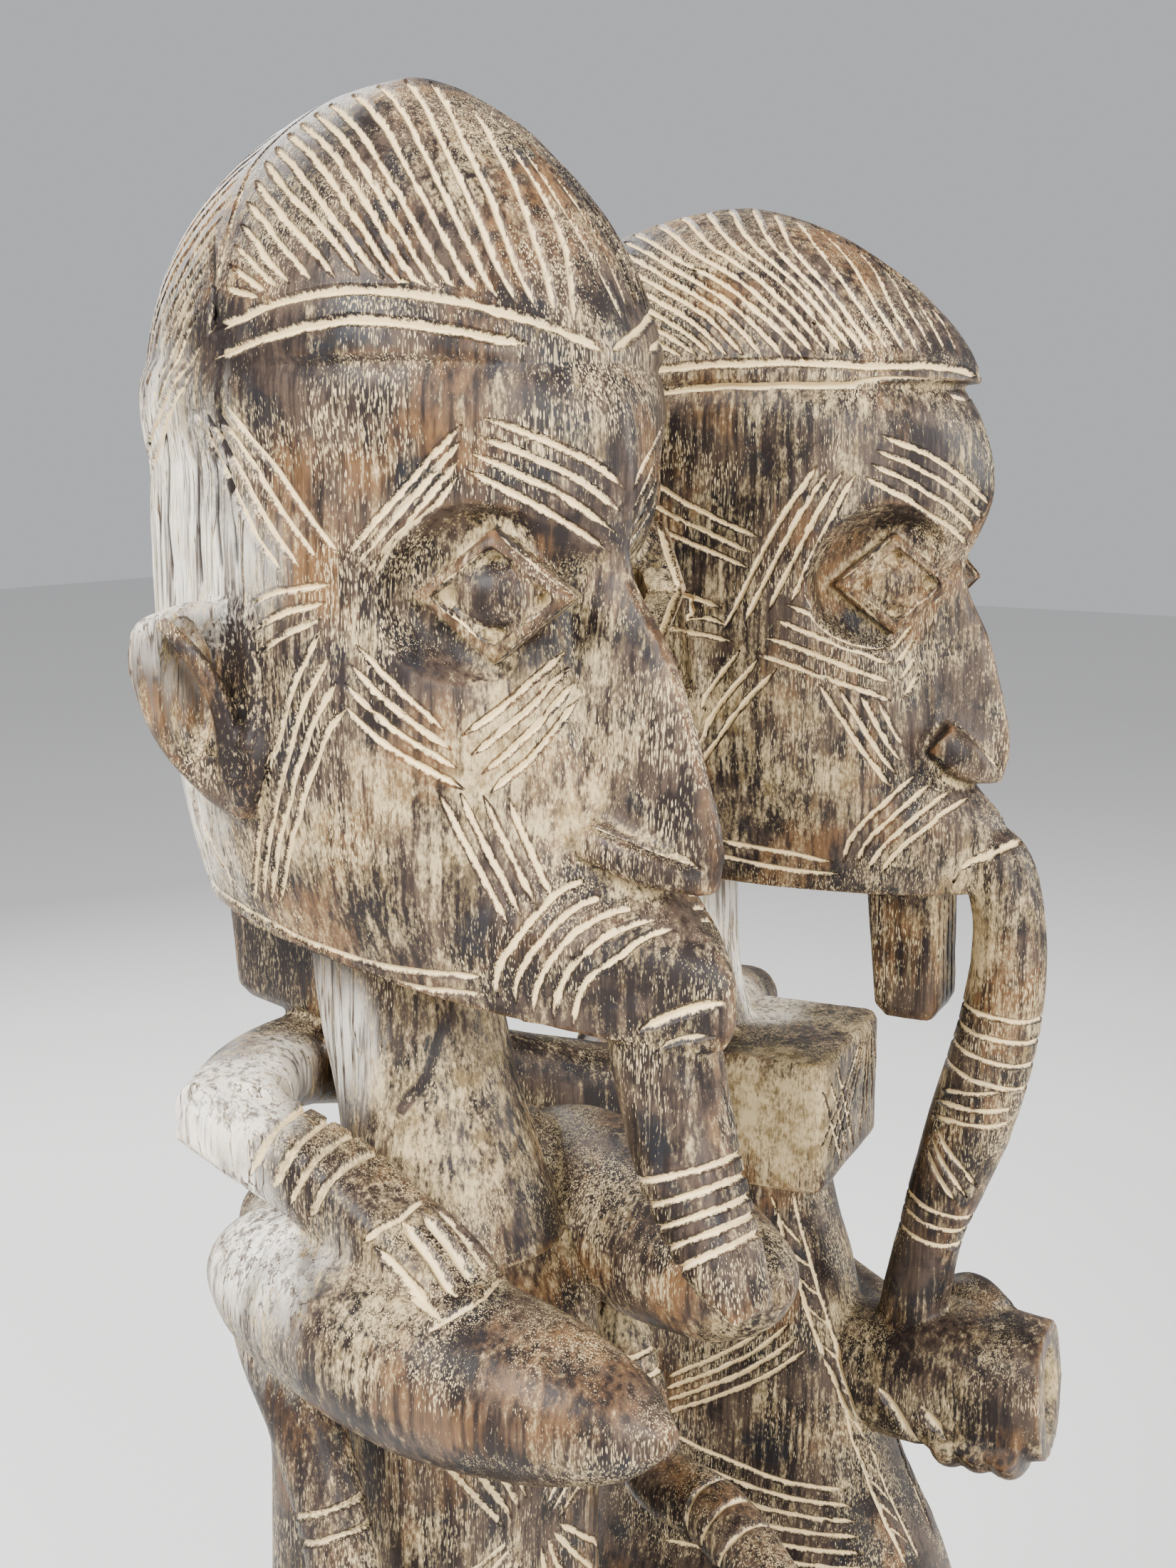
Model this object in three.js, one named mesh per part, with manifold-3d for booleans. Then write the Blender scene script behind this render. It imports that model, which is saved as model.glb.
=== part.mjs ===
import * as THREE from 'three';
import { mergeVertices } from 'three/addons/utils/BufferGeometryUtils.js';
import Module from 'manifold-3d';

// Seated couple carved from one block of wood: two ancestor figures on a shared stool and a low base.
// Millimetres, +Z up, front toward -Y. Each figure is built about its own head axis, then turned.

const wasm = await Module();
wasm.setup();

const DEG = Math.PI / 180;

// Base and stool
const BASE_HALF_X = 162;
const BASE_HALF_Y = 122;
const BASE_HEIGHT = 22;
const STOOL_CENTRE_Y = 30;
const STOOL_HALF_X = 128;
const STOOL_HALF_Y = 72;
const STOOL_WAIST = 0.84;
const SEAT_TOP = 195;
const SEAT_THICK = 24;
const FOOT_RIM_TOP = 46;

// Where each head axis stands, and how far each figure turns away from the other
const WOMAN_PLACE = { x: -75.6, y: 34, turn: -10 * DEG };
const MAN_PLACE = { x: 75.6, y: 26, turn: 10 * DEG };

// Hair cap: superellipse exponents of its profile to the front, back and sides
const CAP_FRONT_POWER = 1.5;
const CAP_BACK_POWER = 1.9;
const CAP_SIDE_POWER = 1.75;
const FLUTES = 24;
const FLUTE_DEPTH = 1.8;
const FLUTE_SWEEP = 0.5;

// Depth of the rings cut round bracelets, beard and pipe
const RING_DEPTH = 1.3;

// Plan of a head: wedge-shaped in front, round behind
const WEDGE_POWER = 1.25;
const BACK_POWER = 2.2;
const FACE_SIDES = 20;
const FACE_STEPS = 9;

// Eyes: recessed socket, raised lozenge lid, lozenge opening and eyeball, all turned toward the temple
const EYE_TURN = 58 * DEG;
const SOCKET = [21, 5, 17];
const LID = { half: 17, tall: 14, rise: 5.5 };
const EYE_OPENING = { half: 12.5, tall: 9.5, depth: 6, lift: 3.2 };
const EYEBALL = [10, 4.2, 8];

// Ears: leaf outline stations are [height above the lobe, reach from the root]
const EAR_ROOT = 46;
const EAR_SWEEP = -24 * DEG;
const EAR_HALF_THICK = 4.5;
const EAR_LEAF = [[0, 2], [10, 15], [25, 23.5], [40, 24], [46, 15]];
const EAR_SCOOP = [6.5, 4.5, 12];
const EAR_SCOOP_HEIGHT = 28;

// Plaited block that hangs at the nape
const PLAIT_HALF = 14;
const PLAIT_FRONT = 2;
const PLAIT_BACK = 57;
const PLAIT_DROP = 31;

// Legs: distance of each knee from the figure's middle, and the line the shins stand on
const KNEE_X = 30;
const SHIN_Y = -97;
const THIGH_Z = 213;

// Head rows: height, front, back, half width, bluntness of the wedge.
// Nose rows: height, ridge, half width, root.
const WOMAN_HEAD = {
  crown: 677,
  crownY: -9,
  hairline: 616,
  hairFront: -66.5,
  hairBack: 67,
  hairHalf: 49.5,
  jawTilt: 8 * DEG,
  jawHeight: 490.5,
  eyeCentre: [-23, -57, 569],
  earY: 1,
  lobeZ: 517,
  nose: [
    [586, -72, 3, -64],
    [574, -72, 6, -60],
    [555, -84.5, 8, -62],
    [536, -92.5, 9.5, -64],
    [518, -97.5, 11, -68],
    [510, -96, 11.5, -70],
  ],
  rows: [
    [470, -88, 42, 33, 1.9],
    [478, -99, 46, 36, 1.9],
    [486, -102, 48, 38.5, 1.9],
    [498, -98, 51, 42, 2.1],
    [508, -84, 54, 44.5, 2.5],
    [520, -75, 57.5, 46.5, 2.8],
    [538, -70, 62, 48, 3],
    [556, -66, 65, 49, 3.1],
    [570, -64, 66, 49, 3],
    [580, -70, 66, 49, 2.7],
    [592, -72.5, 66, 48.5, 2.5],
    [616, -66, 65.5, 48, 2.4],
    [626, -55, 56, 40, 2.4],
  ],
};
const MAN_HEAD = {
  crown: 665,
  crownY: 4,
  hairline: 615,
  hairFront: -65,
  hairBack: 77,
  hairHalf: 49,
  jawTilt: 4 * DEG,
  jawHeight: 477,
  eyeCentre: [-23, -48, 561],
  earY: 10,
  lobeZ: 509,
  nose: [
    [577, -66, 3, -56],
    [562, -62.5, 6, -52],
    [546, -69.5, 8, -52],
    [530, -74, 9.5, -54],
    [512, -77, 11, -57],
    [504, -75, 11.5, -58],
  ],
  rows: [
    [462, -66, 50, 33, 2.2],
    [472, -75, 54, 36, 2.2],
    [482, -78, 57, 38.5, 2.2],
    [494, -76, 60, 42, 2.3],
    [503, -68, 63, 44.5, 2.5],
    [514, -62, 67, 46.5, 2.8],
    [530, -59, 71, 48, 3],
    [546, -57, 75, 49, 3.1],
    [560, -58, 76, 49, 3.1],
    [571, -65, 76, 49, 3],
    [588, -70, 76, 48.5, 2.8],
    [611, -62, 75, 47.5, 2.6],
    [622, -50, 64, 40, 2.6],
  ],
};

// Turn rings of equal count into a closed solid
function solidFromRings(rings) {
  const count = rings[0].length;
  const last = rings.length - 1;
  const points = rings.flat();
  const index = [];
  for (let row = 0; row < last; row += 1) {
    for (let i = 0; i < count; i += 1) {
      const a = row * count + i;
      const b = row * count + ((i + 1) % count);
      index.push(a, b, b + count, a, b + count, a + count);
    }
  }
  for (const [row, flip] of [[0, true], [last, false]]) {
    const middle = points.length;
    const centre = new THREE.Vector3();
    rings[row].forEach((p) => centre.addScaledVector(p, 1 / count));
    points.push(centre);
    for (let i = 0; i < count; i += 1) {
      const a = row * count + i;
      const b = row * count + ((i + 1) % count);
      index.push(middle, flip ? b : a, flip ? a : b);
    }
  }
  let volume = 0;
  for (let t = 0; t < index.length; t += 3) {
    const [p, q, r] = [points[index[t]], points[index[t + 1]], points[index[t + 2]]];
    volume += p.dot(new THREE.Vector3().crossVectors(q, r));
  }
  if (volume < 0) index.reverse();
  const geometry = new THREE.BufferGeometry();
  const flat = points.flatMap((p) => p.toArray());
  geometry.setAttribute('position', new THREE.Float32BufferAttribute(flat, 3));
  geometry.setIndex(index);
  return toManifold(geometry);
}

function toManifold(source) {
  const geometry = source.clone();
  geometry.deleteAttribute('normal');
  geometry.deleteAttribute('uv');
  const merged = mergeVertices(geometry, 1e-4);
  return new wasm.Manifold(new wasm.Mesh({
    numProp: 3,
    vertProperties: new Float32Array(merged.attributes.position.array),
    triVerts: new Uint32Array(merged.index.array),
  }));
}

const signedPower = (value, power) => Math.sign(value) * Math.abs(value) ** power;

// Horizontal section of a head or body: a wedge in front of `middle` and a round back behind it
function planRing(section, count) {
  const { z, front, back, half, blunt, wedge = WEDGE_POWER, round = BACK_POWER } = section;
  const { middle = 0, sweep = 0, cut = () => 0 } = section;
  const ring = [];
  for (let i = 0; i < count; i += 1) {
    const turn = (i / count) * 2 * Math.PI;
    const angle = turn - sweep * Math.cos(turn);
    const across = Math.cos(angle);
    const along = Math.sin(angle);
    const isFront = along < 0;
    const x = half * signedPower(across, 2 / (isFront ? wedge : round));
    const reach = isFront ? front - middle : back - middle;
    const y = middle + reach * Math.abs(along) ** (2 / (isFront ? blunt : round));
    const inward = cut(i);
    const spread = Math.hypot(x, y - middle) || 1;
    ring.push(new THREE.Vector3(x - (x / spread) * inward, y - ((y - middle) / spread) * inward, z));
  }
  return ring;
}

// Smooth values between rows whose first number is the height
function rowsAt(rows) {
  const track = new THREE.CubicInterpolant(
    rows.map((row) => row[0]), rows.flatMap((row) => row.slice(1)), rows[0].length - 1,
  );
  return (z) => Array.from(track.evaluate(z));
}

// Tube of oval section along a curve. Stations are [x, y, z, half width, half depth].
// Each band of rings is [start, end, grooves], as fractions of the length.
function limb(stations, { sides = 10, steps = 6, square = 2, up = [0, 0, 1], bands = [] } = {}) {
  const curve = new THREE.CatmullRomCurve3(stations.map(([x, y, z]) => new THREE.Vector3(x, y, z)));
  const sizes = rowsAt(stations.map((s, i) => [i / (stations.length - 1), s[3], s[4] ?? s[3]]));
  const places = [];
  for (let i = 0; i <= steps; i += 1) {
    const t = i / steps;
    if (bands.every(([start, end]) => t < start - 0.02 || t > end + 0.02)) places.push([t, 0]);
  }
  for (const [start, end, grooves] of bands) {
    for (let i = 0; i <= 2 * grooves; i += 1) {
      places.push([start + ((end - start) * i) / (2 * grooves), i % 2 ? RING_DEPTH : 0]);
    }
  }
  places.sort((a, b) => a[0] - b[0]);
  const reference = new THREE.Vector3(...up);
  const rings = places.map(([t, cut]) => {
    const centre = curve.getPoint(t);
    const tangent = curve.getTangent(t);
    const side = new THREE.Vector3().crossVectors(tangent, reference).normalize();
    const top = new THREE.Vector3().crossVectors(side, tangent).normalize();
    const [wide, deep] = sizes(t);
    return Array.from({ length: sides }, (_, i) => {
      const angle = ((i + 0.5) / sides) * 2 * Math.PI;
      return centre.clone()
        .addScaledVector(side, (wide - cut) * signedPower(Math.cos(angle), 2 / square))
        .addScaledVector(top, (deep - cut) * signedPower(Math.sin(angle), 2 / square));
    });
  });
  return solidFromRings(rings);
}

// Closed solid from horizontal rounded sections [z, half width, front, back]
function stack(rows, { sides = 20, square = 2.6, middle = 0 } = {}) {
  return solidFromRings(rows.map(([z, half, front, back]) => planRing(
    { z, half, front, back, blunt: square, wedge: square, round: square, middle }, sides,
  )));
}

// Oval ball turned clockwise about the vertical
function ellipsoid(centre, radii, turn = 0, detail = [10, 6]) {
  const geometry = new THREE.SphereGeometry(1, ...detail);
  geometry.scale(...radii);
  geometry.rotateZ(-turn);
  geometry.translate(...centre);
  return toManifold(geometry);
}

const mirrored = (solid) => solid.mirror([1, 0, 0]);
const join = (...solids) => wasm.Manifold.union(solids);

// Head: fluted cap, wedge face with recessed diamond eyes, long nose, muzzle and ears
function head(shape) {
  const { nose, eyeCentre, lobeZ } = shape;
  const rowAt = rowsAt(shape.rows);
  const bottom = shape.rows[0][0];
  const top = shape.rows[shape.rows.length - 1][0];
  const faceRings = [];
  for (let i = 0; i <= FACE_STEPS; i += 1) {
    const z = bottom + ((top - bottom) * i) / FACE_STEPS;
    const [front, back, half, blunt] = rowAt(z);
    faceRings.push(planRing({ z, front, back, half, blunt }, FACE_SIDES));
  }
  const capRings = [];
  for (const rise of [0, 0.3, 0.62, 0.86, 0.985]) {
    const z = shape.hairline + (shape.crown - shape.hairline) * rise;
    const shrink = (power) => (1 - rise ** power) ** (1 / power);
    capRings.push(planRing({
      z,
      middle: shape.crownY,
      front: shape.crownY + (shape.hairFront - shape.crownY) * shrink(CAP_FRONT_POWER),
      back: shape.crownY + (shape.hairBack - shape.crownY) * shrink(CAP_BACK_POWER),
      half: shape.hairHalf * shrink(CAP_SIDE_POWER),
      blunt: 2.4,
      wedge: 1.6,
      sweep: FLUTE_SWEEP * (1 - rise),
      cut: (i) => (i % 2 ? FLUTE_DEPTH * Math.min(1, 2 * shrink(2)) : 0),
    }, FLUTES * 2));
  }
  const underCut = new THREE.BoxGeometry(160, 260, 60);
  underCut.translate(0, 0, -30);
  underCut.rotateX(shape.jawTilt);
  underCut.translate(0, 0, shape.jawHeight);
  let body = solidFromRings(faceRings).subtract(toManifold(underCut));
  body = join(body, solidFromRings(capRings));

  const socket = ellipsoid(eyeCentre, SOCKET, EYE_TURN, [10, 4]);
  body = body.subtract(join(socket, mirrored(socket)));
  const lid = lozenge(eyeCentre, LID, [[1, -6], [1, 1.2], [0.72, LID.rise]]);
  body = join(body, lid, mirrored(lid));
  const { lift, depth } = EYE_OPENING;
  const opening = lozenge(eyeCentre, EYE_OPENING, [[0.8, lift - depth / 2], [1.02, lift], [1.3, lift + 4]]);
  body = body.subtract(join(opening, mirrored(opening)));
  const ball = ellipsoid(eyeCentre, EYEBALL, EYE_TURN, [8, 4]);
  body = join(body, ball, mirrored(ball));

  const noseRings = nose.map(([z, ridge, half, root]) => [
    [-half, root + 12],
    [-half, root],
    [-1.6, ridge],
    [1.6, ridge],
    [half, root],
    [half, root + 12],
  ].map(([x, y]) => new THREE.Vector3(x, y, z)));
  const tip = nose[nose.length - 1];
  const wing = limb([
    [-tip[2] - 1, tip[3] - 1, tip[0] + 8, 3, 3.6],
    [-tip[2] * 0.7, (tip[3] + tip[1]) / 2, tip[0] + 4.5, 3.4, 3.8],
    [-1.5, tip[1] + 1.5, tip[0] + 1.5, 1.8, 2],
  ], { sides: 6, steps: 3 });
  body = join(body, solidFromRings(noseRings), wing, mirrored(wing));

  const leafRows = EAR_LEAF.map(([rise, reach]) => [lobeZ + rise, reach, -EAR_HALF_THICK, EAR_HALF_THICK]);
  const leaf = stack(leafRows, { sides: 8, square: 2 })
    .rotate([0, 0, EAR_SWEEP / DEG])
    .translate([3 - EAR_ROOT, shape.earY, 0]);
  const scoopCentre = [-EAR_ROOT - 12, shape.earY - 1, lobeZ + EAR_SCOOP_HEIGHT];
  const ear = leaf.subtract(ellipsoid(scoopCentre, EAR_SCOOP, -EAR_SWEEP, [6, 4]));
  return join(body, ear, mirrored(ear), plait(shape));
}

function plait({ jawHeight, earY }) {
  const block = stack([
    [jawHeight - PLAIT_DROP, PLAIT_HALF - 3, PLAIT_FRONT + 6, PLAIT_BACK - 7],
    [jawHeight - PLAIT_DROP + 3, PLAIT_HALF - 1, PLAIT_FRONT + 4, PLAIT_BACK - 4],
    [jawHeight + 12, PLAIT_HALF, PLAIT_FRONT, PLAIT_BACK],
  ], { sides: 12, square: 5, middle: (PLAIT_FRONT + PLAIT_BACK) / 2 });
  return block.translate([0, earY + 4, 0]);
}

// Four-sided solid standing on the temple. Layers are [scale of the outline, distance outward].
function lozenge(eyeCentre, { half, tall }, layers) {
  const upward = new THREE.Vector3(0, 0, 1);
  const outline = [[-half, 0], [0, -tall], [half, 0], [0, tall]];
  return solidFromRings(layers.map(([scale, out]) => outline.map(([u, v]) => {
    const point = new THREE.Vector3(u * scale, -out, v * scale);
    return point.applyAxisAngle(upward, -EYE_TURN).add(new THREE.Vector3(...eyeCentre));
  })));
}

function labret() {
  return limb([
    [0, -80, 490, 11.5, 11.5],
    [0, -83, 475, 12, 12],
    [0, -88, 456, 11.5, 11.5],
    [0, -94, 442, 11, 10],
    [0, -101, 431, 10, 7],
    [0, -108, 423, 6, 2],
  ], { sides: 10, steps: 5, up: [0, 1, 0], bands: [[0.47, 0.72, 4]] });
}

function woman() {
  const neck = limb([
    [0, 3, 505, 22],
    [0, 1, 475, 22],
    [0, -6, 448, 22],
    [0, -11, 430, 24],
    [0, -12, 412, 30],
  ], { sides: 12, steps: 4, up: [0, 1, 0] });
  const torso = stack([
    [190, 48, -46, 38],
    [230, 47, -50, 36],
    [272, 39, -46, 30],
    [330, 36, -44, 27],
    [385, 37, -43, 26],
    [410, 42, -34, 25],
    [424, 44, -26, 22],
    [434, 35, -18, 16],
  ], { sides: 16, square: 3.2 });
  const breast = (tipY, tipZ) => limb([
    [-44, -12, 414, 19, 18],
    [-40, -50, 409, 21, 20.5],
    [-35, -84, 409, 17, 17],
    [-31.5, tipY + 10, tipZ, 11, 10.5],
    [-30, tipY, tipZ + 1, 2.5, 2.5],
  ], { sides: 10, steps: 5 });
  const arm = limb([
    [-45, -4, 420, 13, 12],
    [-48, -9, 402, 10, 9.5],
    [-48, -19, 384, 9, 8.5],
    [-48, -29, 362, 8.5, 8],
    [-48, -38, 339, 9, 8.5],
    [-46, -62, 336, 8.5, 8.5],
    [-40, -90, 320, 8.5, 8],
    [-34, -103, 276, 9, 8],
    [-31, -104, 226, 13, 8],
  ], { sides: 8, steps: 9, up: [1, 0, 0], bands: [[0.34, 0.38, 1]] });
  return join(
    head(WOMAN_HEAD), labret(), neck, torso, breast(-113, 409), mirrored(breast(-93, 412)),
    arm, mirrored(arm), legs(0),
  );
}

// Thighs level on the seat, lower legs straight down to feet on the base
function legs(hipY) {
  const leg = limb([
    [-24, hipY, THIGH_Z, 24, 23],
    [-28, -50, THIGH_Z, 21, 19],
    [-KNEE_X, -90, THIGH_Z + 1, 18, 17],
    [-KNEE_X, SHIN_Y - 7, 200, 17, 17],
    [-KNEE_X, SHIN_Y - 6, 176, 15, 15],
    [-KNEE_X, SHIN_Y - 1, 132, 15, 18],
    [-KNEE_X, SHIN_Y, 84, 12, 14],
    [-KNEE_X, SHIN_Y, 46, 12, 13],
    [-KNEE_X, SHIN_Y, 14, 14, 15],
  ], { sides: 8, steps: 8, up: [1, 0, 0] });
  const foot = limb([
    [-KNEE_X, SHIN_Y + 7, 28, 13, 12],
    [-KNEE_X, SHIN_Y - 11, 28, 14, 10],
    [-KNEE_X, SHIN_Y - 28, 25, 14, 6],
  ], { sides: 8, steps: 3, square: 2.6 });
  return join(leg, foot, mirrored(leg), mirrored(foot));
}

function man() {
  const neck = limb([
    [0, 26, 500, 21],
    [0, 26, 460, 21],
    [0, 25, 435, 22],
    [0, 24, 410, 28],
  ], { sides: 12, steps: 3, up: [0, 1, 0] });
  const chest = stack([
    [383, 29, -32, 44],
    [388, 31, -34, 46],
    [416, 31, -34, 46],
    [423, 29, -32, 44],
  ], { sides: 16, square: 7, middle: 6 });
  const shoulders = limb([
    [-58, 22, 408, 13, 15],
    [-30, 24, 414, 18, 16],
    [0, 24, 414, 22, 14],
    [30, 24, 414, 18, 16],
    [58, 22, 408, 13, 15],
  ], { sides: 10, steps: 4, square: 2.6 });
  const torso = stack([
    [190, 44, -62, 50],
    [228, 42, -70, 48],
    [254, 34, -65, 47],
    [285, 28, -51, 45],
    [312, 26, -42, 44],
    [344, 25, -34, 42],
    [376, 25, -25, 42],
    [400, 28, -24, 42],
  ], { sides: 16, square: 3.4, middle: 4 });
  const beard = stack([
    [434, 12, -60, -46],
    [438, 13.5, -62, -42.5],
    [486, 14, -61, -38],
  ], { sides: 12, square: 8, middle: -51 });
  const pipe = limb([
    [0, -66, 489, 9, 6],
    [0, -74, 481, 10.5, 10],
    [0, -79, 462, 10.5, 10.5],
    [0, -77.5, 434, 11.5, 12],
    [0, -70, 402, 11.5, 12.5],
    [0, -60, 368, 10, 10],
    [0, -55, 340, 10.5, 10.5],
    [0, -54, 325, 10, 10],
  ], { sides: 8, steps: 9, up: [0, 1, 0], bands: [[0.33, 0.48, 4], [0.86, 0.92, 2]] });
  const barrel = limb([
    [0, -28, 318, 17, 17],
    [0, -58, 320, 20, 21],
    [0, -82, 321, 20, 22],
    [0, -97, 322, 18, 20],
  ], { sides: 10, steps: 4, square: 2.4 });
  const hollow = ellipsoid([0, -100, 322], [9, 12, 14]);
  const fingers = [-70, -78.5, -87].map((y) => limb([
    [-19, y, 310, 5.6, 5],
    [-8, y, 300.8, 5.6, 6],
    [8, y, 299.6, 5.6, 6],
  ], { sides: 6, steps: 2, up: [0, 1, 0] }));
  const thumb = limb([
    [22, -52, 326, 7, 7],
    [16, -68, 340, 7, 6.5],
    [6, -80, 340, 6, 5],
  ], { sides: 6, steps: 3 });
  const leftArm = limb([
    [54, 22, 410, 13, 15],
    [60, 24, 388, 11, 12],
    [61, 22, 360, 10, 11],
    [58, 12, 334, 11, 11],
    [46, -12, 324, 10, 10],
    [26, -38, 322, 10, 10],
    [8, -54, 321, 12, 14],
  ], { sides: 8, steps: 7, up: [0, 1, 0] });
  return join(
    head(MAN_HEAD), neck, chest, shoulders, torso, beard, pipe,
    join(barrel, ...fingers, thumb).subtract(hollow), leftArm, legs(14),
  );
}

// The man's right arm lies behind the woman's neck. Its elbow rests over her shoulder and its hand on
// her breast. Stations stand in the woman's frame.
function embracingArm() {
  const upper = limb([
    [104, 6, 412, 15, 15],
    [70, 20, 422, 13, 14],
    [35, 29, 434, 11, 13],
    [0, 31, 446, 11, 12],
    [-28, 20, 451, 11, 10],
    [-45, 6, 453, 12, 9],
    [-54, -1, 453, 12, 8],
  ], { sides: 8, steps: 6, square: 2.6 });
  const fore = limb([
    [-55, 6, 454, 11, 7.5],
    [-50, -6, 449, 11.5, 9],
    [-43, -21, 441, 11, 10],
    [-39, -38, 433, 11, 9],
    [-37, -52, 427, 11.5, 8],
    [-36, -62, 421, 11, 6],
  ], { sides: 8, steps: 6, square: 3, bands: [[0.3, 0.5, 4]] });
  return join(upper, fore);
}

function stool() {
  const oval = (z, scale) => [z, STOOL_HALF_X * scale, -STOOL_HALF_Y * scale, STOOL_HALF_Y * scale];
  const seatUnder = SEAT_TOP - SEAT_THICK;
  const drum = stack([
    oval(BASE_HEIGHT - 4, 0.97),
    oval(FOOT_RIM_TOP - 6, 0.96),
    oval(FOOT_RIM_TOP, 0.88),
    oval((FOOT_RIM_TOP + seatUnder) / 2, STOOL_WAIST),
    oval(seatUnder - 6, 0.88),
    oval(seatUnder, 1),
    oval(SEAT_TOP - 4, 1),
    oval(SEAT_TOP, 0.97),
  ], { sides: 24, square: 2.2 });
  return drum.translate([0, STOOL_CENTRE_Y, 0]);
}

function base() {
  const oval = (z, inset) => [z, BASE_HALF_X - inset, -BASE_HALF_Y + inset, BASE_HALF_Y - inset];
  const rows = [oval(0, 1), oval(3, 0), oval(BASE_HEIGHT - 4, 0), oval(BASE_HEIGHT, 3)];
  return stack(rows, { sides: 28, square: 2.8 });
}

function placed(solid, { x, y, turn }) {
  return solid.rotate([0, 0, turn / DEG]).translate([x, y, 0]);
}

function carving() {
  const whole = join(
    base(), stool(), placed(join(woman(), embracingArm()), WOMAN_PLACE), placed(man(), MAN_PLACE),
  );
  const { vertProperties, triVerts, numProp } = whole.getMesh();
  const geometry = new THREE.BufferGeometry();
  const positions = new Float32Array((vertProperties.length / numProp) * 3);
  for (let v = 0; v < positions.length / 3; v += 1) {
    for (let k = 0; k < 3; k += 1) positions[v * 3 + k] = vertProperties[v * numProp + k];
  }
  geometry.setAttribute('position', new THREE.BufferAttribute(positions, 3));
  geometry.setIndex(new THREE.BufferAttribute(new Uint32Array(triVerts), 1));
  return geometry;
}

const wood = new THREE.MeshStandardMaterial({ color: 0x6b5138, roughness: 0.6, metalness: 0 });
const couple = new THREE.Mesh(carving(), wood);
couple.name = 'couple_figure';

const part = new THREE.Group();
part.add(couple);

export default part;
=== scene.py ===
"""Carved seated couple on a shared stool: the finished wooden figure, with its floor, lights and camera.

Forms and carved lines are worked out in millimetres, +Z up and the front toward -Y, and become metres
when a mesh is written. Each figure is built about its own head axis and then turned to its place.
"""

import math

import bpy
import numpy as np
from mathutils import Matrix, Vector
from mathutils.bvhtree import BVHTree


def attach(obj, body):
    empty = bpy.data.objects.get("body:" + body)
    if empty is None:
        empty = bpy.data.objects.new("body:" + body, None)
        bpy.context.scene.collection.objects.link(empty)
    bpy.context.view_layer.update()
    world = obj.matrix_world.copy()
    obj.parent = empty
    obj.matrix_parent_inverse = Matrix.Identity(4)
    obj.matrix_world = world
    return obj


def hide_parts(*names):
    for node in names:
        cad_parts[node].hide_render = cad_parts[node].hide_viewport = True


bl_info = {
    "name": "Carved Couple Figure",
    "version": (1, 0, 0),
    "blender": (4, 5, 0),
    "location": "View3D > Sidebar > Couple Figure",
    "description": "Carves the seated couple, finishes its wood and lays the photo floor",
    "category": "Object",
}

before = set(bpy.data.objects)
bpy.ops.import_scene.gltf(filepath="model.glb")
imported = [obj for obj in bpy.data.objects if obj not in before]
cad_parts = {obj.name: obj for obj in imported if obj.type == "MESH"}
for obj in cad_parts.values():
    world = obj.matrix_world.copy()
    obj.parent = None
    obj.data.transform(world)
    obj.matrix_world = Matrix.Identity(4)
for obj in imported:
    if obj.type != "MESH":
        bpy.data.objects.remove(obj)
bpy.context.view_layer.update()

MM = 0.001
DEG = math.pi / 180

# Fineness of the forms: points round a head, a limb and a small limb, and the distance between their rows
HEAD_SIDES = 144
LIMB_SIDES = 64
SMALL_SIDES = 32
ROW_STEP = 1.6

# Base and stool
BASE_HALF_X = 162
BASE_HALF_Y = 122
BASE_HEIGHT = 22
STOOL_CENTRE_Y = 30
STOOL_HALF_X = 128
STOOL_HALF_Y = 72
STOOL_WAIST = 0.84
SEAT_TOP = 195
SEAT_THICK = 24
FOOT_RIM_TOP = 46
STOOL_SQUARE = 2.2
BASE_SQUARE = 2.8

# Zigzag round the stool's waist: its teeth, heights of its lower and upper corners, rise of the second line
ZIGZAG_TEETH = 26
ZIGZAG_LOW = 96
ZIGZAG_HIGH = 122
ZIGZAG_RISE = 6

# Where each head axis stands, and how far each figure turns away from the other
WOMAN_PLACE = (-75.6, 34, -10 * DEG)
MAN_PLACE = (75.6, 26, 10 * DEG)

# Hair cap: superellipse exponents of its profile to the front, back and sides, exponents of its plan,
# and the height over which the head's plan turns into that of the cap
CAP_FRONT_POWER = 1.5
CAP_BACK_POWER = 1.9
CAP_SIDE_POWER = 1.75
CAP_WEDGE_POWER = 1.6
CAP_BLUNT = 2.4
CAP_BLEND = 26

# Plan of a head: wedge-shaped in front, round behind
WEDGE_POWER = 1.25
BACK_POWER = 2.2

# Eyes: recessed socket, raised lozenge lid, lozenge opening and eyeball, all turned toward the temple
EYE_TURN = 58 * DEG
SOCKET = (21, 5, 17)
SOCKET_FLARE = 0.7
LID = {"half": 17.5, "tall": 14, "layers": [(1, -6), (1, 2.4), (0.95, 3.2), (0.72, 4.6)]}
LID_OPENING = (12.6, 9.6)
EYE_OPENING = {"half": 13, "tall": 10, "layers": [(0.9, -0.6), (1.0, 3.6), (1.1, 7.2)]}
EYEBALL = (8.6, 4.4, 6.8)

# Nose: half width of its ridge, and how far its root lies inside the face
NOSE_RIDGE_HALF = 1.6
NOSE_ROOT_DEPTH = 12

# Ears: leaf outline stations are (height above the lobe, reach from the root)
EAR_ROOT = 46
EAR_SWEEP = -24 * DEG
EAR_HALF_THICK = 5.5
EAR_LEAF = [(0, 3), (8, 12), (18, 19.5), (30, 24.5), (40, 25), (46, 21.5), (49, 13)]
EAR_HOLLOW = (12, 4.5, 17)
EAR_TROUGH = (4.2, 11, 18)
EAR_MIDDLE = 30
EAR_NOTCH = (4, 6, 4.5)
EAR_NOTCH_HEIGHT = 15

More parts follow.
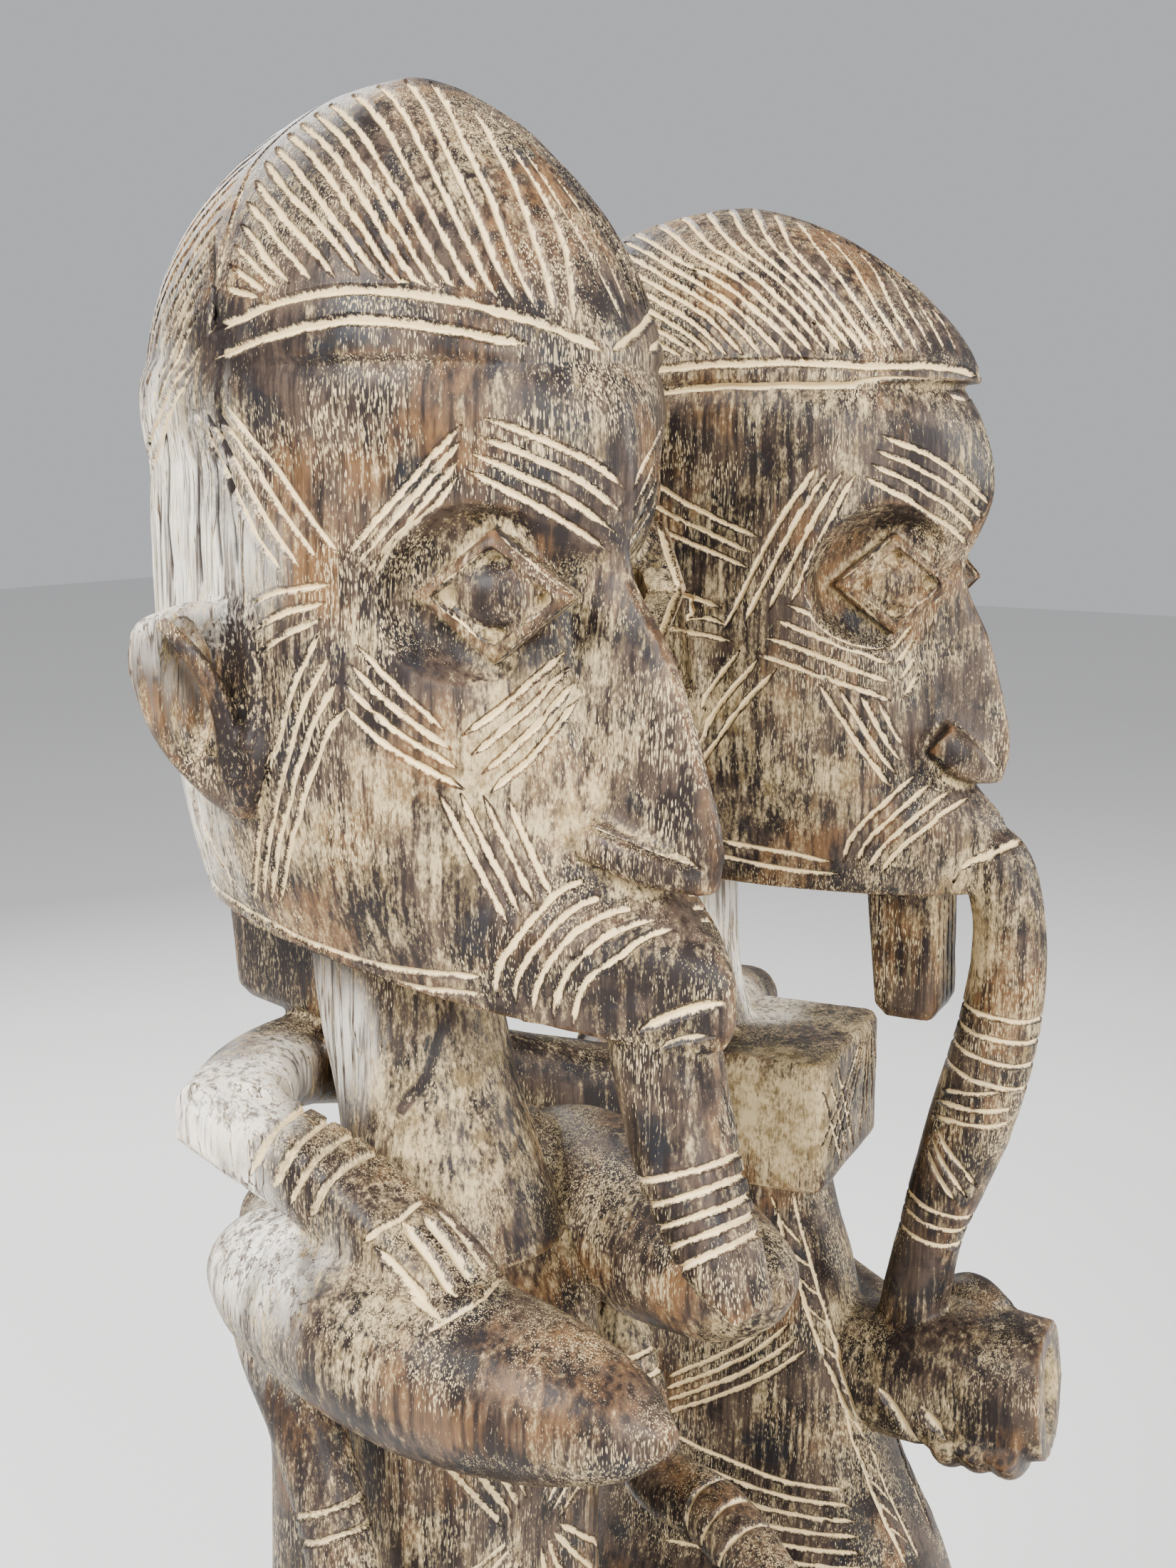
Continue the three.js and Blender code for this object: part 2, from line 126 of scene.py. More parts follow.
# Front fold of an ear: (x, y before the leaf, height above the lobe, radius, radius)
EAR_FOLD = [
    (-47.5, -6, 48, 2.5, 2.5),
    (-48, -9, 38, 2.2, 2.4),
    (-48, -10.5, 26, 2.4, 2.6),
    (-49, -9, 14, 5, 4.5),
    (-47.5, -5, 4, 4, 4),
]
# Raised inner edge of the leaf, the same way
EAR_EDGE = [
    (-63, 2.5, 46, 1.6, 1.6),
    (-57.5, -1.5, 38, 2.4, 2.6),
    (-52.5, -4, 27, 2.6, 3.0),
    (-51.5, -4, 14, 2.4, 2.6),
    (-49, -3.5, 5, 2, 2),
]

# Plaited block that hangs at the nape
PLAIT_HALF = 14
PLAIT_FRONT = 2
PLAIT_BACK = 57
PLAIT_DROP = 31

# Legs: distance of each knee from the figure's middle, and the line the shins stand on
KNEE_X = 30
SHIN_Y = -97
THIGH_Z = 213

# Head rows: height, front, back, half width, bluntness of the wedge.
# Nose rows: height, ridge, half width, root.
WOMAN_HEAD = {
    "crown": 677,
    "crown_y": -9,
    "hairline": 616,
    "hair_front": -66.5,
    "hair_back": 67,
    "hair_half": 49.5,
    "jaw_tilt": 8 * DEG,
    "jaw_height": 490.5,
    "eye": (-23, -57, 569),
    "ear_y": 1,
    "lobe_z": 517,
    "wing_rise": 10,
    "wing_size": 4.0,
    "nose": [
        (586, -72, 3, -64),
        (574, -72, 6, -60),
        (555, -84.5, 8, -62),
        (536, -92.5, 9.5, -64),
        (518, -97.5, 11, -68),
        (510, -96, 11.5, -70),
    ],
    "rows": [
        (470, -88, 42, 33, 1.9),
        (478, -99, 46, 36, 1.9),
        (486, -102, 48, 38.5, 1.9),
        (498, -98, 51, 42, 2.1),
        (508, -84, 54, 44.5, 2.5),
        (520, -75, 57.5, 46.5, 2.8),
        (538, -70, 62, 48, 3),
        (556, -66, 65, 49, 3.1),
        (570, -64, 66, 49, 3),
        (580, -70, 66, 49, 2.7),
        (592, -72.5, 66, 48.5, 2.5),
        (616, -66, 65.5, 48, 2.4),
        (626, -55, 56, 40, 2.4),
    ],
}
MAN_HEAD = {
    "crown": 665,
    "crown_y": 4,
    "hairline": 615,
    "hair_front": -65,
    "hair_back": 77,
    "hair_half": 49,
    "jaw_tilt": 4 * DEG,
    "jaw_height": 477,
    "eye": (-23, -48, 561),
    "ear_y": 10,
    "lobe_z": 509,
    "wing_rise": 14,
    "wing_size": 5.6,
    "nose": [
        (577, -66, 3, -56),
        (562, -62.5, 6, -52),
        (546, -69.5, 8, -52),
        (530, -74, 9.5, -54),
        (512, -77, 11, -57),
        (504, -75, 11.5, -58),
    ],
    "rows": [
        (462, -66, 50, 33, 2.2),
        (472, -75, 54, 36, 2.2),
        (482, -78, 57, 38.5, 2.2),
        (494, -76, 60, 42, 2.3),
        (503, -68, 63, 44.5, 2.5),
        (514, -62, 67, 46.5, 2.8),
        (530, -59, 71, 48, 3),
        (546, -57, 75, 49, 3.1),
        (560, -58, 76, 49, 3.1),
        (571, -65, 76, 49, 3),
        (588, -70, 76, 48.5, 2.8),
        (611, -62, 75, 47.5, 2.6),
        (622, -50, 64, 40, 2.6),
    ],
}

# Lines cut together stay at least this far apart, in millimetres, so that their cutters never overlap.
# They are compared at points with the given spacing.
LINE_GAP = 3.5
LINE_SAMPLE = 1.5


def length(name, description, default, **more):
    return bpy.props.FloatProperty(
        name=name, description=description, default=default, unit="LENGTH", **more)


def turning(name, description, default):
    return bpy.props.FloatProperty(
        name=name, description=description, default=default, subtype="ANGLE")


def tint(name, description, default):
    return bpy.props.FloatVectorProperty(
        name=name, description=description, default=default, subtype="COLOR")


def triangles(name, description, default, low):
    return bpy.props.IntProperty(
        name=name, description=description, default=default, min=low)


class FigureSizes(bpy.types.PropertyGroup):
    """Sizes of the carving"""

    surface_step: length("Surface step", "Spacing of the mesh that joins the forms", 0.0009, min=0.0005)
    face_limit: triangles("Face limit", "Triangles kept before the lines are cut", 130000, 20000)
    final_limit: triangles("Final limit", "Triangles kept in the finished figure", 197000, 40000)
    tool_marks: length("Tool marks", "Height of the unevenness left by the adze and the knife", 0.00035)
    groove_width: length("Groove width", "Width of an ordinary carved line at the surface", 0.0023)
    groove_depth: length("Groove depth", "Depth of an ordinary carved line", 0.0012)
    crack_width: length("Crack width", "Width of a drying crack", 0.0009)
    crack_depth: length("Crack depth", "Depth of a drying crack", 0.002)


class WoodFinish(bpy.types.PropertyGroup):
    """Colours of the wood and of what lies in its hollows"""

    dark_wood: tint("Dark wood", "Smoke-darkened patina", (0.014, 0.010, 0.009))
    brown_wood: tint("Brown wood", "Ordinary surface of the carving", (0.058, 0.039, 0.028))
    golden_wood: tint("Golden wood", "Wood bared and polished by touch", (0.155, 0.078, 0.030))
    clay: tint("Clay", "Pale earth that fills grooves and pores", (0.80, 0.62, 0.34))
    stained_clay: tint("Stained clay", "Clay darkened by oil and handling", (0.195, 0.135, 0.058))
    worn_grey: tint("Worn grey", "Bleached wood where the patina has gone", (0.88, 0.82, 0.71))
    worn_dark: tint("Worn grain", "Darker grain between the bleached streaks", (0.20, 0.17, 0.14))
    smoke: tint("Smoke", "Blue-black spots of old smoke and oil", (0.011, 0.012, 0.015))


class StageSettings(bpy.types.PropertyGroup):
    """Floor, lights and camera"""

    floor_colour: tint("Floor", "Colour of the plain floor", (0.78, 0.77, 0.75))
    camera_place: bpy.props.FloatVectorProperty(
        name="Camera place",
        description="Where the camera stands",
        subtype="TRANSLATION",
        unit="LENGTH",
        default=(-0.4048, -0.2444, 0.600),
    )
    camera_azimuth: turning("Camera azimuth", "Turn of the camera about the vertical", -55.5 * DEG)
    camera_pitch: turning("Camera pitch", "How far the camera looks down", 10.545 * DEG)
    lens: bpy.props.FloatProperty(
        name="Lens",
        description="Focal length on a 36 mm wide sensor, in millimetres",
        default=42.545,
    )
    light_power: bpy.props.FloatProperty(
        name="Light power",
        description="Power of the main soft light",
        default=58.0,
        unit="POWER",
    )


# Forms

def signed_power(value, power):
    """Power of the size, with the sign kept"""
    return np.sign(value) * np.abs(value) ** power


def hermite(at, values, slopes, wanted):
    """Smooth curve through values with the given slopes"""
    place = np.clip(np.searchsorted(at, wanted, side="right") - 1, 0, len(at) - 2)
    span = (at[place + 1] - at[place])[:, None]
    p = (wanted - at[place])[:, None] / span
    return (
        (2 * p**3 - 3 * p**2 + 1) * values[place]
        + (p**3 - 2 * p**2 + p) * span * slopes[place]
        + (3 * p**2 - 2 * p**3) * values[place + 1]
        + (p**3 - p**2) * span * slopes[place + 1]
    )


def rows_at(rows, wanted):
    """Smooth values between rows whose first number is the height"""
    rows = np.array(rows, float)
    at, values = rows[:, 0], rows[:, 1:]
    secant = np.diff(values, axis=0) / np.diff(at)[:, None]
    slopes = np.vstack([secant[:1], (secant[1:] + secant[:-1]) / 2, secant[-1:]])
    return hermite(at, values, slopes, np.asarray(wanted, float))


def curve_at(points, wanted):
    """Points of the centripetal curve through points, at wanted shares of its length"""
    points = np.array(points, float)
    gap = np.linalg.norm(np.diff(points, axis=0), axis=1) ** 0.5
    knots = np.concatenate([[0], np.cumsum(gap)])
    secant = np.diff(points, axis=0) / gap[:, None]
    both = (gap[1:] + gap[:-1])[:, None]
    inner = (gap[1:, None] * secant[:-1] + gap[:-1, None] * secant[1:]) / both
    slopes = np.vstack([secant[:1], inner, secant[-1:]])
    place = np.asarray(wanted, float) * (len(points) - 1)
    return hermite(knots, points, slopes, np.interp(place, np.arange(len(points)), knots))


def loft(rings):
    """Closed shell through rings of equal count, with faces that look outward"""
    rings = np.asarray(rings, float)
    rows, count = rings.shape[:2]
    points = np.vstack([rings.reshape(-1, 3), rings[0].mean(0), rings[-1].mean(0)])
    a = np.arange((rows - 1) * count).reshape(rows - 1, count)
    b = np.roll(a, -1, axis=1)
    ring = np.arange(count)
    after = np.roll(ring, -1)
    last = (rows - 1) * count
    low = np.full(count, rows * count)
    faces = np.vstack([
        np.stack([a, b, b + count], -1).reshape(-1, 3),
        np.stack([a, b + count, a + count], -1).reshape(-1, 3),
        np.stack([low, after, ring], -1),
        np.stack([low + 1, last + ring, last + after], -1),
    ])
    p, q, r = points[faces[:, 0]], points[faces[:, 1]], points[faces[:, 2]]
    if np.einsum("ij,ij->", p, np.cross(q, r)) < 0:
        faces = faces[:, ::-1]
    return points, faces


def plan_ring(z, half, front, back, blunt, wedge=WEDGE_POWER, round_back=BACK_POWER, middle=0.0,
              count=HEAD_SIDES):
    """Horizontal section: a wedge in front of middle and a round back behind it"""
    angle = np.arange(count) / count * 2 * math.pi
    across, along = np.cos(angle), np.sin(angle)
    is_front = along < 0
    x = half * signed_power(across, 2 / np.where(is_front, wedge, round_back))
    reach = np.where(is_front, front - middle, back - middle)
    y = middle + reach * np.abs(along) ** (2 / np.where(is_front, blunt, round_back))
    return np.stack([x, y, np.full(count, z)], 1)


def stack(rows, square=2.6, middle=0.0, smooth=False):
    """Closed shell from horizontal rounded sections (height, half width, front, back)"""
    rows = np.array(rows, float)
    heights = np.unique(np.concatenate([rows[:, 0], np.arange(rows[0, 0], rows[-1, 0], ROW_STEP)]))
    if smooth:
        sizes = rows_at(rows, heights)
    else:
        sizes = np.stack([np.interp(heights, rows[:, 0], column) for column in rows.T[1:]], 1)
    return loft([
        plan_ring(z, half, front, back, square, square, square, middle)
        for z, (half, front, back) in zip(heights, sizes)
    ])


def section(stations, t, angles, square=2, up=(0, 0, 1)):
    """Points of the oval section of a tapering limb, a share t along it"""
    stations = np.array([s if len(s) == 5 else (*s, s[3]) for s in stations], float)
    index = np.linspace(0, 1, len(stations))
    t = np.atleast_1d(np.asarray(t, float))
    centre = curve_at(stations[:, :3], t)
    ahead = curve_at(stations[:, :3], np.minimum(t + 1e-4, 1))
    tangent = ahead - curve_at(stations[:, :3], np.maximum(t - 1e-4, 0))
    side = np.cross(tangent, np.array(up, float))
    side /= np.linalg.norm(side, axis=1)[:, None]
    top = np.cross(side, tangent)
    top /= np.linalg.norm(top, axis=1)[:, None]
    sizes = rows_at(np.column_stack([index, stations[:, 3:]]), t)
    across = signed_power(np.cos(angles), 2 / square)
    along = signed_power(np.sin(angles), 2 / square)
    return (
        centre[:, None]
        + side[:, None] * (sizes[:, :1] * across)[:, :, None]
        + top[:, None] * (sizes[:, 1:] * along)[:, :, None]
    )


def limb(stations, square=2, up=(0, 0, 1), sides=LIMB_SIDES):
    """Closed tube of oval section along a curve. Stations are (x, y, z, half width, half depth)"""
    length = np.linalg.norm(np.diff(np.array([s[:3] for s in stations], float), axis=0), axis=1).sum()
    shares = np.linspace(0, 1, max(6, int(length / ROW_STEP)))
    return loft(section(stations, shares, np.arange(sides) / sides * 2 * math.pi, square, up))


def ellipsoid(centre, radii, turn=0.0):
    """Oval ball turned clockwise about the vertical"""
    rings = []
    angle = np.linspace(0, 2 * math.pi, 48, endpoint=False)
    for rise in np.linspace(-88, 88, 33) * DEG:
        ring = np.stack([
            np.cos(angle) * math.cos(rise),
            np.sin(angle) * math.cos(rise),
            np.full(len(angle), math.sin(rise)),
        ], 1)
        rings.append(turned(ring * np.array(radii), -turn) + np.array(centre))
    return loft(rings)


def turned(points, angle):
    """Points turned about the vertical"""
    x, y, z = np.asarray(points, float).T
    across, along = math.cos(angle), math.sin(angle)
    return np.stack([x * across - y * along, x * along + y * across, z], 1)


def mirrored(shell):
    points, faces = shell
    return points * (-1, 1, 1), faces[:, ::-1]


def moved(shell, offset):
    return shell[0] + np.array(offset, float), shell[1]


def merged(shells):
    """One set of points and faces from several shells"""
    start = np.cumsum([0] + [len(points) for points, faces in shells[:-1]])
    return (
        np.vstack([points for points, faces in shells]),
        np.vstack([faces + first for (points, faces), first in zip(shells, start)]),
    )


def placed(shells, place):
    """Shells of one figure joined and moved to where it sits"""
    x, y, turn = place
    points, faces = merged(shells)
    return turned(points, turn) + (x, y, 0), faces


def new_mesh_object(name, points, faces=(), edges=()):
    """Object in metres from millimetre points"""
    mesh = bpy.data.meshes.new(name)
    faces = np.asarray(faces, np.int32).reshape(-1, 3)
    if len(faces):
        mesh.vertices.add(len(points))
        mesh.vertices.foreach_set("co", (np.asarray(points) * MM).astype(np.float32).ravel())
        mesh.loops.add(faces.size)
        mesh.loops.foreach_set("vertex_index", faces.ravel())
        mesh.polygons.add(len(faces))
        mesh.polygons.foreach_set("loop_start", np.arange(0, faces.size, 3, dtype=np.int32))
        mesh.update(calc_edges=True)
        mesh.validate()
    else:
        mesh.from_pydata([tuple(p) for p in np.asarray(points) * MM], edges, [])
    return linked(name, mesh)


def linked(name, data):
    """New object of the scene"""
    made = bpy.data.objects.new(name, data)
    bpy.context.scene.collection.objects.link(made)
    return made


def copied(source):
    """Object with a copy of the source's mesh"""
    return linked(source.name, source.data.copy())


def applied(source, name=None):
    """The object, its mesh replaced by the result of its modifiers"""
    depsgraph = bpy.context.evaluated_depsgraph_get()
    result = bpy.data.meshes.new_from_object(source.evaluated_get(depsgraph))
    source.modifiers.clear()
    old = source.data
    source.data = result
    bpy.data.meshes.remove(old)
    if name:
        source.name = name
        source.data.name = name
    return source


def carved_away(shell, *cutters):
    """Shell with the cutters' volumes taken out"""
    body = new_mesh_object("form", *shell)
    cutter = new_mesh_object("cutter", *merged(cutters))
    cut = body.modifiers.new("cut", "BOOLEAN")
    cut.operation = "DIFFERENCE"
    cut.solver = "MANIFOLD"
    cut.object = cutter
    applied(body)
    body.data.calc_loop_triangles()
    points = mesh_values(body.data.vertices, "co", 3) / MM
    faces = np.zeros(len(body.data.loop_triangles) * 3, np.int32)
    body.data.loop_triangles.foreach_get("vertices", faces)
    for spent in (body, cutter):
        remove(spent)
    return points, faces.reshape(-1, 3)


def remove(item):
    """Deletes an object and its mesh"""
    mesh = item.data
    bpy.data.objects.remove(item)
    bpy.data.meshes.remove(mesh)


def mesh_values(collection, name, width):
    """Array of a property of all the mesh's elements, width numbers each"""
    values = np.zeros(len(collection) * width, np.float32)
    collection.foreach_get(name, values)
    return values.reshape(-1, width).astype(float)


# The figures' shells

def head(shape):
    """Shells of a head: skull, cap and nose, what comes in pairs, and the plait"""
    socket = eye_socket(shape["eye"])
    skull = carved_away(wedge_of_the_head(shape), socket, mirrored(socket))
    lid = carved_away(lozenge(shape["eye"], **LID), lozenge(shape["eye"], **EYE_OPENING))
    ball = ellipsoid(shape["eye"], EYEBALL, EYE_TURN)
    paired = [lid, ball, nose_wing(shape), *ear(shape)]
    others = [mirrored(shell) for shell in paired]
    return [skull, hair_cap(shape), nose(shape), *paired, *others, plait(shape)]


def wedge_of_the_head(shape):
    """Face and skull up to the cap, cut off below along the slope of the jaw"""
    bottom, top = shape["rows"][0][0], shape["rows"][-1][0]
    heights = np.arange(bottom, top + 0.1, ROW_STEP)
    share = np.clip((heights - (shape["hairline"] - CAP_BLEND)) / CAP_BLEND, 0, 1)
    fullness = share**2 * (3 - 2 * share)
    powers = WEDGE_POWER + (CAP_WEDGE_POWER - WEDGE_POWER) * fullness
    points, faces = loft([
        plan_ring(z, half + full, front, back, blunt, power)
        for z, full, power, (front, back, half, blunt) in zip(
            heights, fullness, powers, rows_at(shape["rows"], heights))
    ])
    jaw = shape["jaw_height"] + points[:, 1] * math.tan(shape["jaw_tilt"])
    points[:, 2] = np.maximum(points[:, 2], jaw)
    return points, faces


def hair_cap(shape):
    """Cap from the hairline to the crown, in rows that crowd together toward its top"""
    rings = []
    middle = shape["crown_y"]
    for rise in np.sin(np.linspace(0, 86, 40) * DEG):
        front_share, back_share, side_share = (
            (1 - rise**power) ** (1 / power) for power in (CAP_FRONT_POWER, CAP_BACK_POWER, CAP_SIDE_POWER)
        )
        rings.append(plan_ring(
            shape["hairline"] + (shape["crown"] - shape["hairline"]) * rise,
            shape["hair_half"] * side_share,
            middle + (shape["hair_front"] - middle) * front_share,
            middle + (shape["hair_back"] - middle) * back_share,
            CAP_BLUNT, wedge=CAP_WEDGE_POWER, middle=middle,
        ))
    return loft(rings)


def nose(shape):
    """Arrow-shaped nose that widens downward, with a flat ridge"""
    heights = np.arange(shape["nose"][-1][0], shape["nose"][0][0] + 0.1, ROW_STEP)
    rings = []
    for z, (ridge, half, root) in zip(heights, rows_at(shape["nose"][::-1], heights)):
        right = [(-half, root + NOSE_ROOT_DEPTH), (-half, root), (-NOSE_RIDGE_HALF, ridge)]
        left = [(-x, y) for x, y in reversed(right)]
        rings.append([(x, y, z) for x, y in right + left])
    return loft(rings)


def nose_wing(shape):
    """Rounded wing along the lower edge of the nose, from the cheek to the tip"""
    z, ridge, half, root = shape["nose"][-1]
    full = shape["wing_size"]
    return limb([
        (-half - 1, root - 1, z + shape["wing_rise"], full - 0.4, full),
        (-half * 0.7, (root + ridge) / 2, z + 0.25 * shape["wing_rise"] + 3, full, full + 0.2),
        (-1.5, ridge + 1.5, z + 1.5, 1.8, 2),
    ], square=2.8, sides=SMALL_SIDES)


def ear(shape):
    """Leaf scooped out behind the front fold, the fold with its notch, and the raised inner edge"""
    root_y, lobe_z = shape["ear_y"], shape["lobe_z"]
    points, faces = stack(
        [(rise, reach, -EAR_HALF_THICK, EAR_HALF_THICK) for rise, reach in EAR_LEAF], square=2, smooth=True)
    leaf = turned(points, EAR_SWEEP) + (3 - EAR_ROOT, root_y, lobe_z), faces
    for radii, out, ahead in ((EAR_HOLLOW, 14, -1), (EAR_TROUGH, 4, 6)):
        centre = (-EAR_ROOT - out, root_y - ahead, lobe_z + EAR_MIDDLE)
        leaf = carved_away(leaf, ellipsoid(centre, radii, EAR_SWEEP))
    fold, edge = (
        limb([(x, root_y + y, lobe_z + z, *size) for x, y, z, *size in stations], up=(0, 1, 0), sides=24)
        for stations in (EAR_FOLD, EAR_EDGE)
    )
    notch = ellipsoid((-EAR_ROOT - 9, root_y - 9, lobe_z + EAR_NOTCH_HEIGHT), EAR_NOTCH)
    return leaf, carved_away(fold, notch), edge


def eye_socket(centre):
    """Bowl to take out round an eye, oval below and flaring outward above the temple's face"""
    wide, deep, high = SOCKET
    count = 72
    angle = np.arange(count) / count * 2 * math.pi
    rings = []
    for out in np.concatenate([-deep * np.cos(np.linspace(0.05, 0.5, 9) * math.pi), [3, 7, 12]]):
        scale = math.sqrt(max(0, 1 - (out / deep) ** 2)) if out < 0 else 1 + SOCKET_FLARE * out / wide
        x, z = wide * scale * np.cos(angle), high * scale * np.sin(angle)
        ring = np.stack([x, np.full(count, -out), z], 1)
        rings.append(turned(ring, -EYE_TURN) + np.array(centre))
    return loft(rings)


def lozenge(centre, half, tall, layers):
    """Four-sided solid standing on the temple. Layers are (scale of the outline, distance outward)"""
    outline = np.array([(-half, 0, 0), (0, 0, -tall), (half, 0, 0), (0, 0, tall)], float)
    return loft([
        turned(outline * scale - (0, out, 0), -EYE_TURN) + np.array(centre) for scale, out in layers
    ])


def plait(shape):
    """Block of plaited hair at the nape"""
    low = shape["jaw_height"] - PLAIT_DROP
    block = stack([
        (low, PLAIT_HALF - 3, PLAIT_FRONT + 6, PLAIT_BACK - 7),
        (low + 3, PLAIT_HALF - 1, PLAIT_FRONT + 4, PLAIT_BACK - 4),
        (shape["jaw_height"] + 12, PLAIT_HALF, PLAIT_FRONT, PLAIT_BACK),
    ], square=5, middle=(PLAIT_FRONT + PLAIT_BACK) / 2)
    return moved(block, (0, shape["ear_y"] + 4, 0))


LABRET = [
    (0, -80, 490, 11.5, 11.5),
    (0, -83, 475, 12, 12),
    (0, -88, 456, 11.5, 11.5),
    (0, -94, 442, 11, 10),
    (0, -101, 431, 10, 7),
    (0, -108, 423, 6, 2),
]
WOMAN_ARM = [
    (-45, -4, 420, 13, 12),
    (-48, -9, 402, 10, 9.5),
    (-48, -19, 384, 9, 8.5),
    (-48, -29, 362, 8.5, 8),
    (-48, -38, 339, 9, 8.5),
    (-46, -62, 336, 8.5, 8.5),
    (-40, -90, 320, 8.5, 8),
    (-34, -103, 276, 9, 8),
    (-31, -104, 226, 13, 8),
]
PIPE = [
    (0, -66, 489, 9, 6),
    (0, -74, 481, 10.5, 10),
    (0, -79, 462, 10.5, 10.5),
    (0, -77.5, 434, 11.5, 12),
    (0, -70, 402, 11.5, 12.5),
    (0, -60, 368, 10, 10),
    (0, -55, 340, 10.5, 10.5),
    (0, -54, 325, 10, 10),
]
EMBRACING_FOREARM = [
    (-55, 6, 454, 11, 7.5),
    (-50, -6, 449, 11.5, 9),
    (-43, -21, 441, 11, 10),
    (-39, -38, 433, 11, 9),
    (-37, -52, 427, 11.5, 8),
    (-36, -62, 421, 11, 6),
]


def legs(hip_y):
    leg = limb([
        (-24, hip_y, THIGH_Z, 24, 23), (-28, -50, THIGH_Z, 21, 19),
        (-KNEE_X, -90, THIGH_Z + 1, 18, 17), (-KNEE_X, SHIN_Y - 7, 200, 17, 17),
        (-KNEE_X, SHIN_Y - 6, 176, 15, 15), (-KNEE_X, SHIN_Y - 1, 132, 15, 18),
        (-KNEE_X, SHIN_Y, 84, 12, 14), (-KNEE_X, SHIN_Y, 46, 12, 13), (-KNEE_X, SHIN_Y, 14, 14, 15),
    ], up=(1, 0, 0))
    foot = limb([
        (-KNEE_X, SHIN_Y + 7, 28, 13, 12), (-KNEE_X, SHIN_Y - 11, 28, 14, 10),
        (-KNEE_X, SHIN_Y - 28, 25, 14, 6),
    ], square=2.6)
    return [leg, foot, mirrored(leg), mirrored(foot)]


def woman():
    neck = limb([
        (0, 3, 505, 22), (0, 1, 475, 22), (0, -6, 448, 22), (0, -11, 430, 24), (0, -12, 412, 30),
    ], up=(0, 1, 0))
    torso = stack([
        (190, 48, -46, 38), (230, 47, -50, 36), (272, 39, -46, 30), (330, 36, -44, 27),
        (385, 37, -43, 26), (410, 42, -34, 25), (424, 44, -26, 22), (434, 35, -18, 16),
    ], square=3.2, smooth=True)

    def breast(tip_y, tip_z):
        root_y = -12
        reach = tip_y - root_y
        return limb([
            (-42, root_y + 22, 416, 5, 5), (-43.5, root_y + 16, 415, 13, 12),
            (-44, root_y, 414, 19, 18), (-40, root_y + 0.376 * reach, 409, 21, 20.5),
            (-35, root_y + 0.713 * reach, 409, 17, 17),
            (-31.5, root_y + 0.9 * reach, tip_z, 11, 10.5), (-30, tip_y, tip_z + 1, 2.5, 2.5),
        ])

    arm = limb(WOMAN_ARM, up=(1, 0, 0))
    labret = limb(LABRET, up=(0, 1, 0))
    return [
        *head(WOMAN_HEAD), labret, neck, torso, breast(-113, 409), mirrored(breast(-93, 412)),
        arm, mirrored(arm), *legs(0),
    ]


def man():
    neck = limb([
        (0, 26, 500, 21), (0, 26, 460, 21), (0, 25, 435, 22), (0, 24, 410, 28),
    ], up=(0, 1, 0))
    chest = stack([
        (383, 30, -33, 45), (385, 31, -34, 46), (420.5, 31, -34, 46), (423, 30, -33, 45),
    ], square=16, middle=6)
    shoulders = limb([
        (-58, 22, 408, 13, 15), (-30, 24, 414, 18, 16), (0, 24, 414, 22, 14), (30, 24, 414, 18, 16),
        (58, 22, 408, 13, 15),
    ], square=2.6)
    torso = stack([
        (190, 44, -62, 50), (228, 42, -70, 48), (254, 34, -65, 47), (285, 28, -51, 45),
        (312, 26, -42, 44), (344, 25, -34, 42), (376, 25, -25, 42), (400, 28, -24, 42),
    ], square=3.4, middle=4, smooth=True)
    beard = stack([
        (434, 12, -60, -46), (438, 13.5, -62, -42.5), (486, 14, -61, -38),
    ], square=8, middle=-51)
    pipe = limb(PIPE, up=(0, 1, 0))
    barrel = limb([
        (0, -28, 318, 17, 17), (0, -58, 320, 20, 21), (0, -82, 321, 20, 22), (0, -97, 322, 18, 20),
    ], square=2.4)
    bowl = carved_away(barrel, ellipsoid((0, -100, 322), (9, 12, 14)))
    fingers = [limb([
        (-19, y, 310, 5.6, 5), (-8, y, 300.8, 5.6, 6), (8, y, 299.6, 5.6, 6),
    ], up=(0, 1, 0), sides=SMALL_SIDES) for y in (-70, -78.5, -87)]
    thumb = limb([
        (22, -52, 326, 7, 7), (16, -68, 340, 7, 6.5), (6, -80, 340, 6, 5),
    ], sides=SMALL_SIDES)
    left_arm = limb([
        (54, 22, 410, 13, 15), (60, 24, 388, 11, 12), (61, 22, 360, 10, 11), (58, 12, 334, 11, 11),
        (46, -12, 324, 10, 10), (26, -38, 322, 10, 10), (8, -54, 321, 12, 14),
    ], up=(0, 1, 0))
    return [
        *head(MAN_HEAD), neck, chest, shoulders, torso, beard, pipe, bowl, *fingers, thumb, left_arm,
        *legs(14),
    ]


def embracing_arm():
    """Right arm of the man, behind the woman's neck and over her shoulder, in the woman's frame"""
    upper = limb([
        (104, 6, 412, 15, 15), (70, 20, 422, 13, 14), (35, 29, 434, 11, 13), (0, 31, 446, 11, 12),
        (-28, 20, 451, 11, 10), (-45, 6, 453, 12, 9), (-54, -1, 453, 12, 8),
    ], square=2.6)
    return [upper, limb(EMBRACING_FOREARM, square=3)]


def stool():
    seat_under = SEAT_TOP - SEAT_THICK

    def oval(z, scale):
        return z, STOOL_HALF_X * scale, -STOOL_HALF_Y * scale, STOOL_HALF_Y * scale

    drum = stack([
        oval(BASE_HEIGHT - 4, 0.97),
        oval(FOOT_RIM_TOP - 6, 0.96),
        oval(FOOT_RIM_TOP, 0.88),
        oval((FOOT_RIM_TOP + seat_under) / 2, STOOL_WAIST),
        oval(seat_under - 6, 0.88),
        oval(seat_under, 1),
        oval(SEAT_TOP - 4, 1),
        oval(SEAT_TOP, 0.97),
    ], square=STOOL_SQUARE)
    return moved(drum, (0, STOOL_CENTRE_Y, 0))


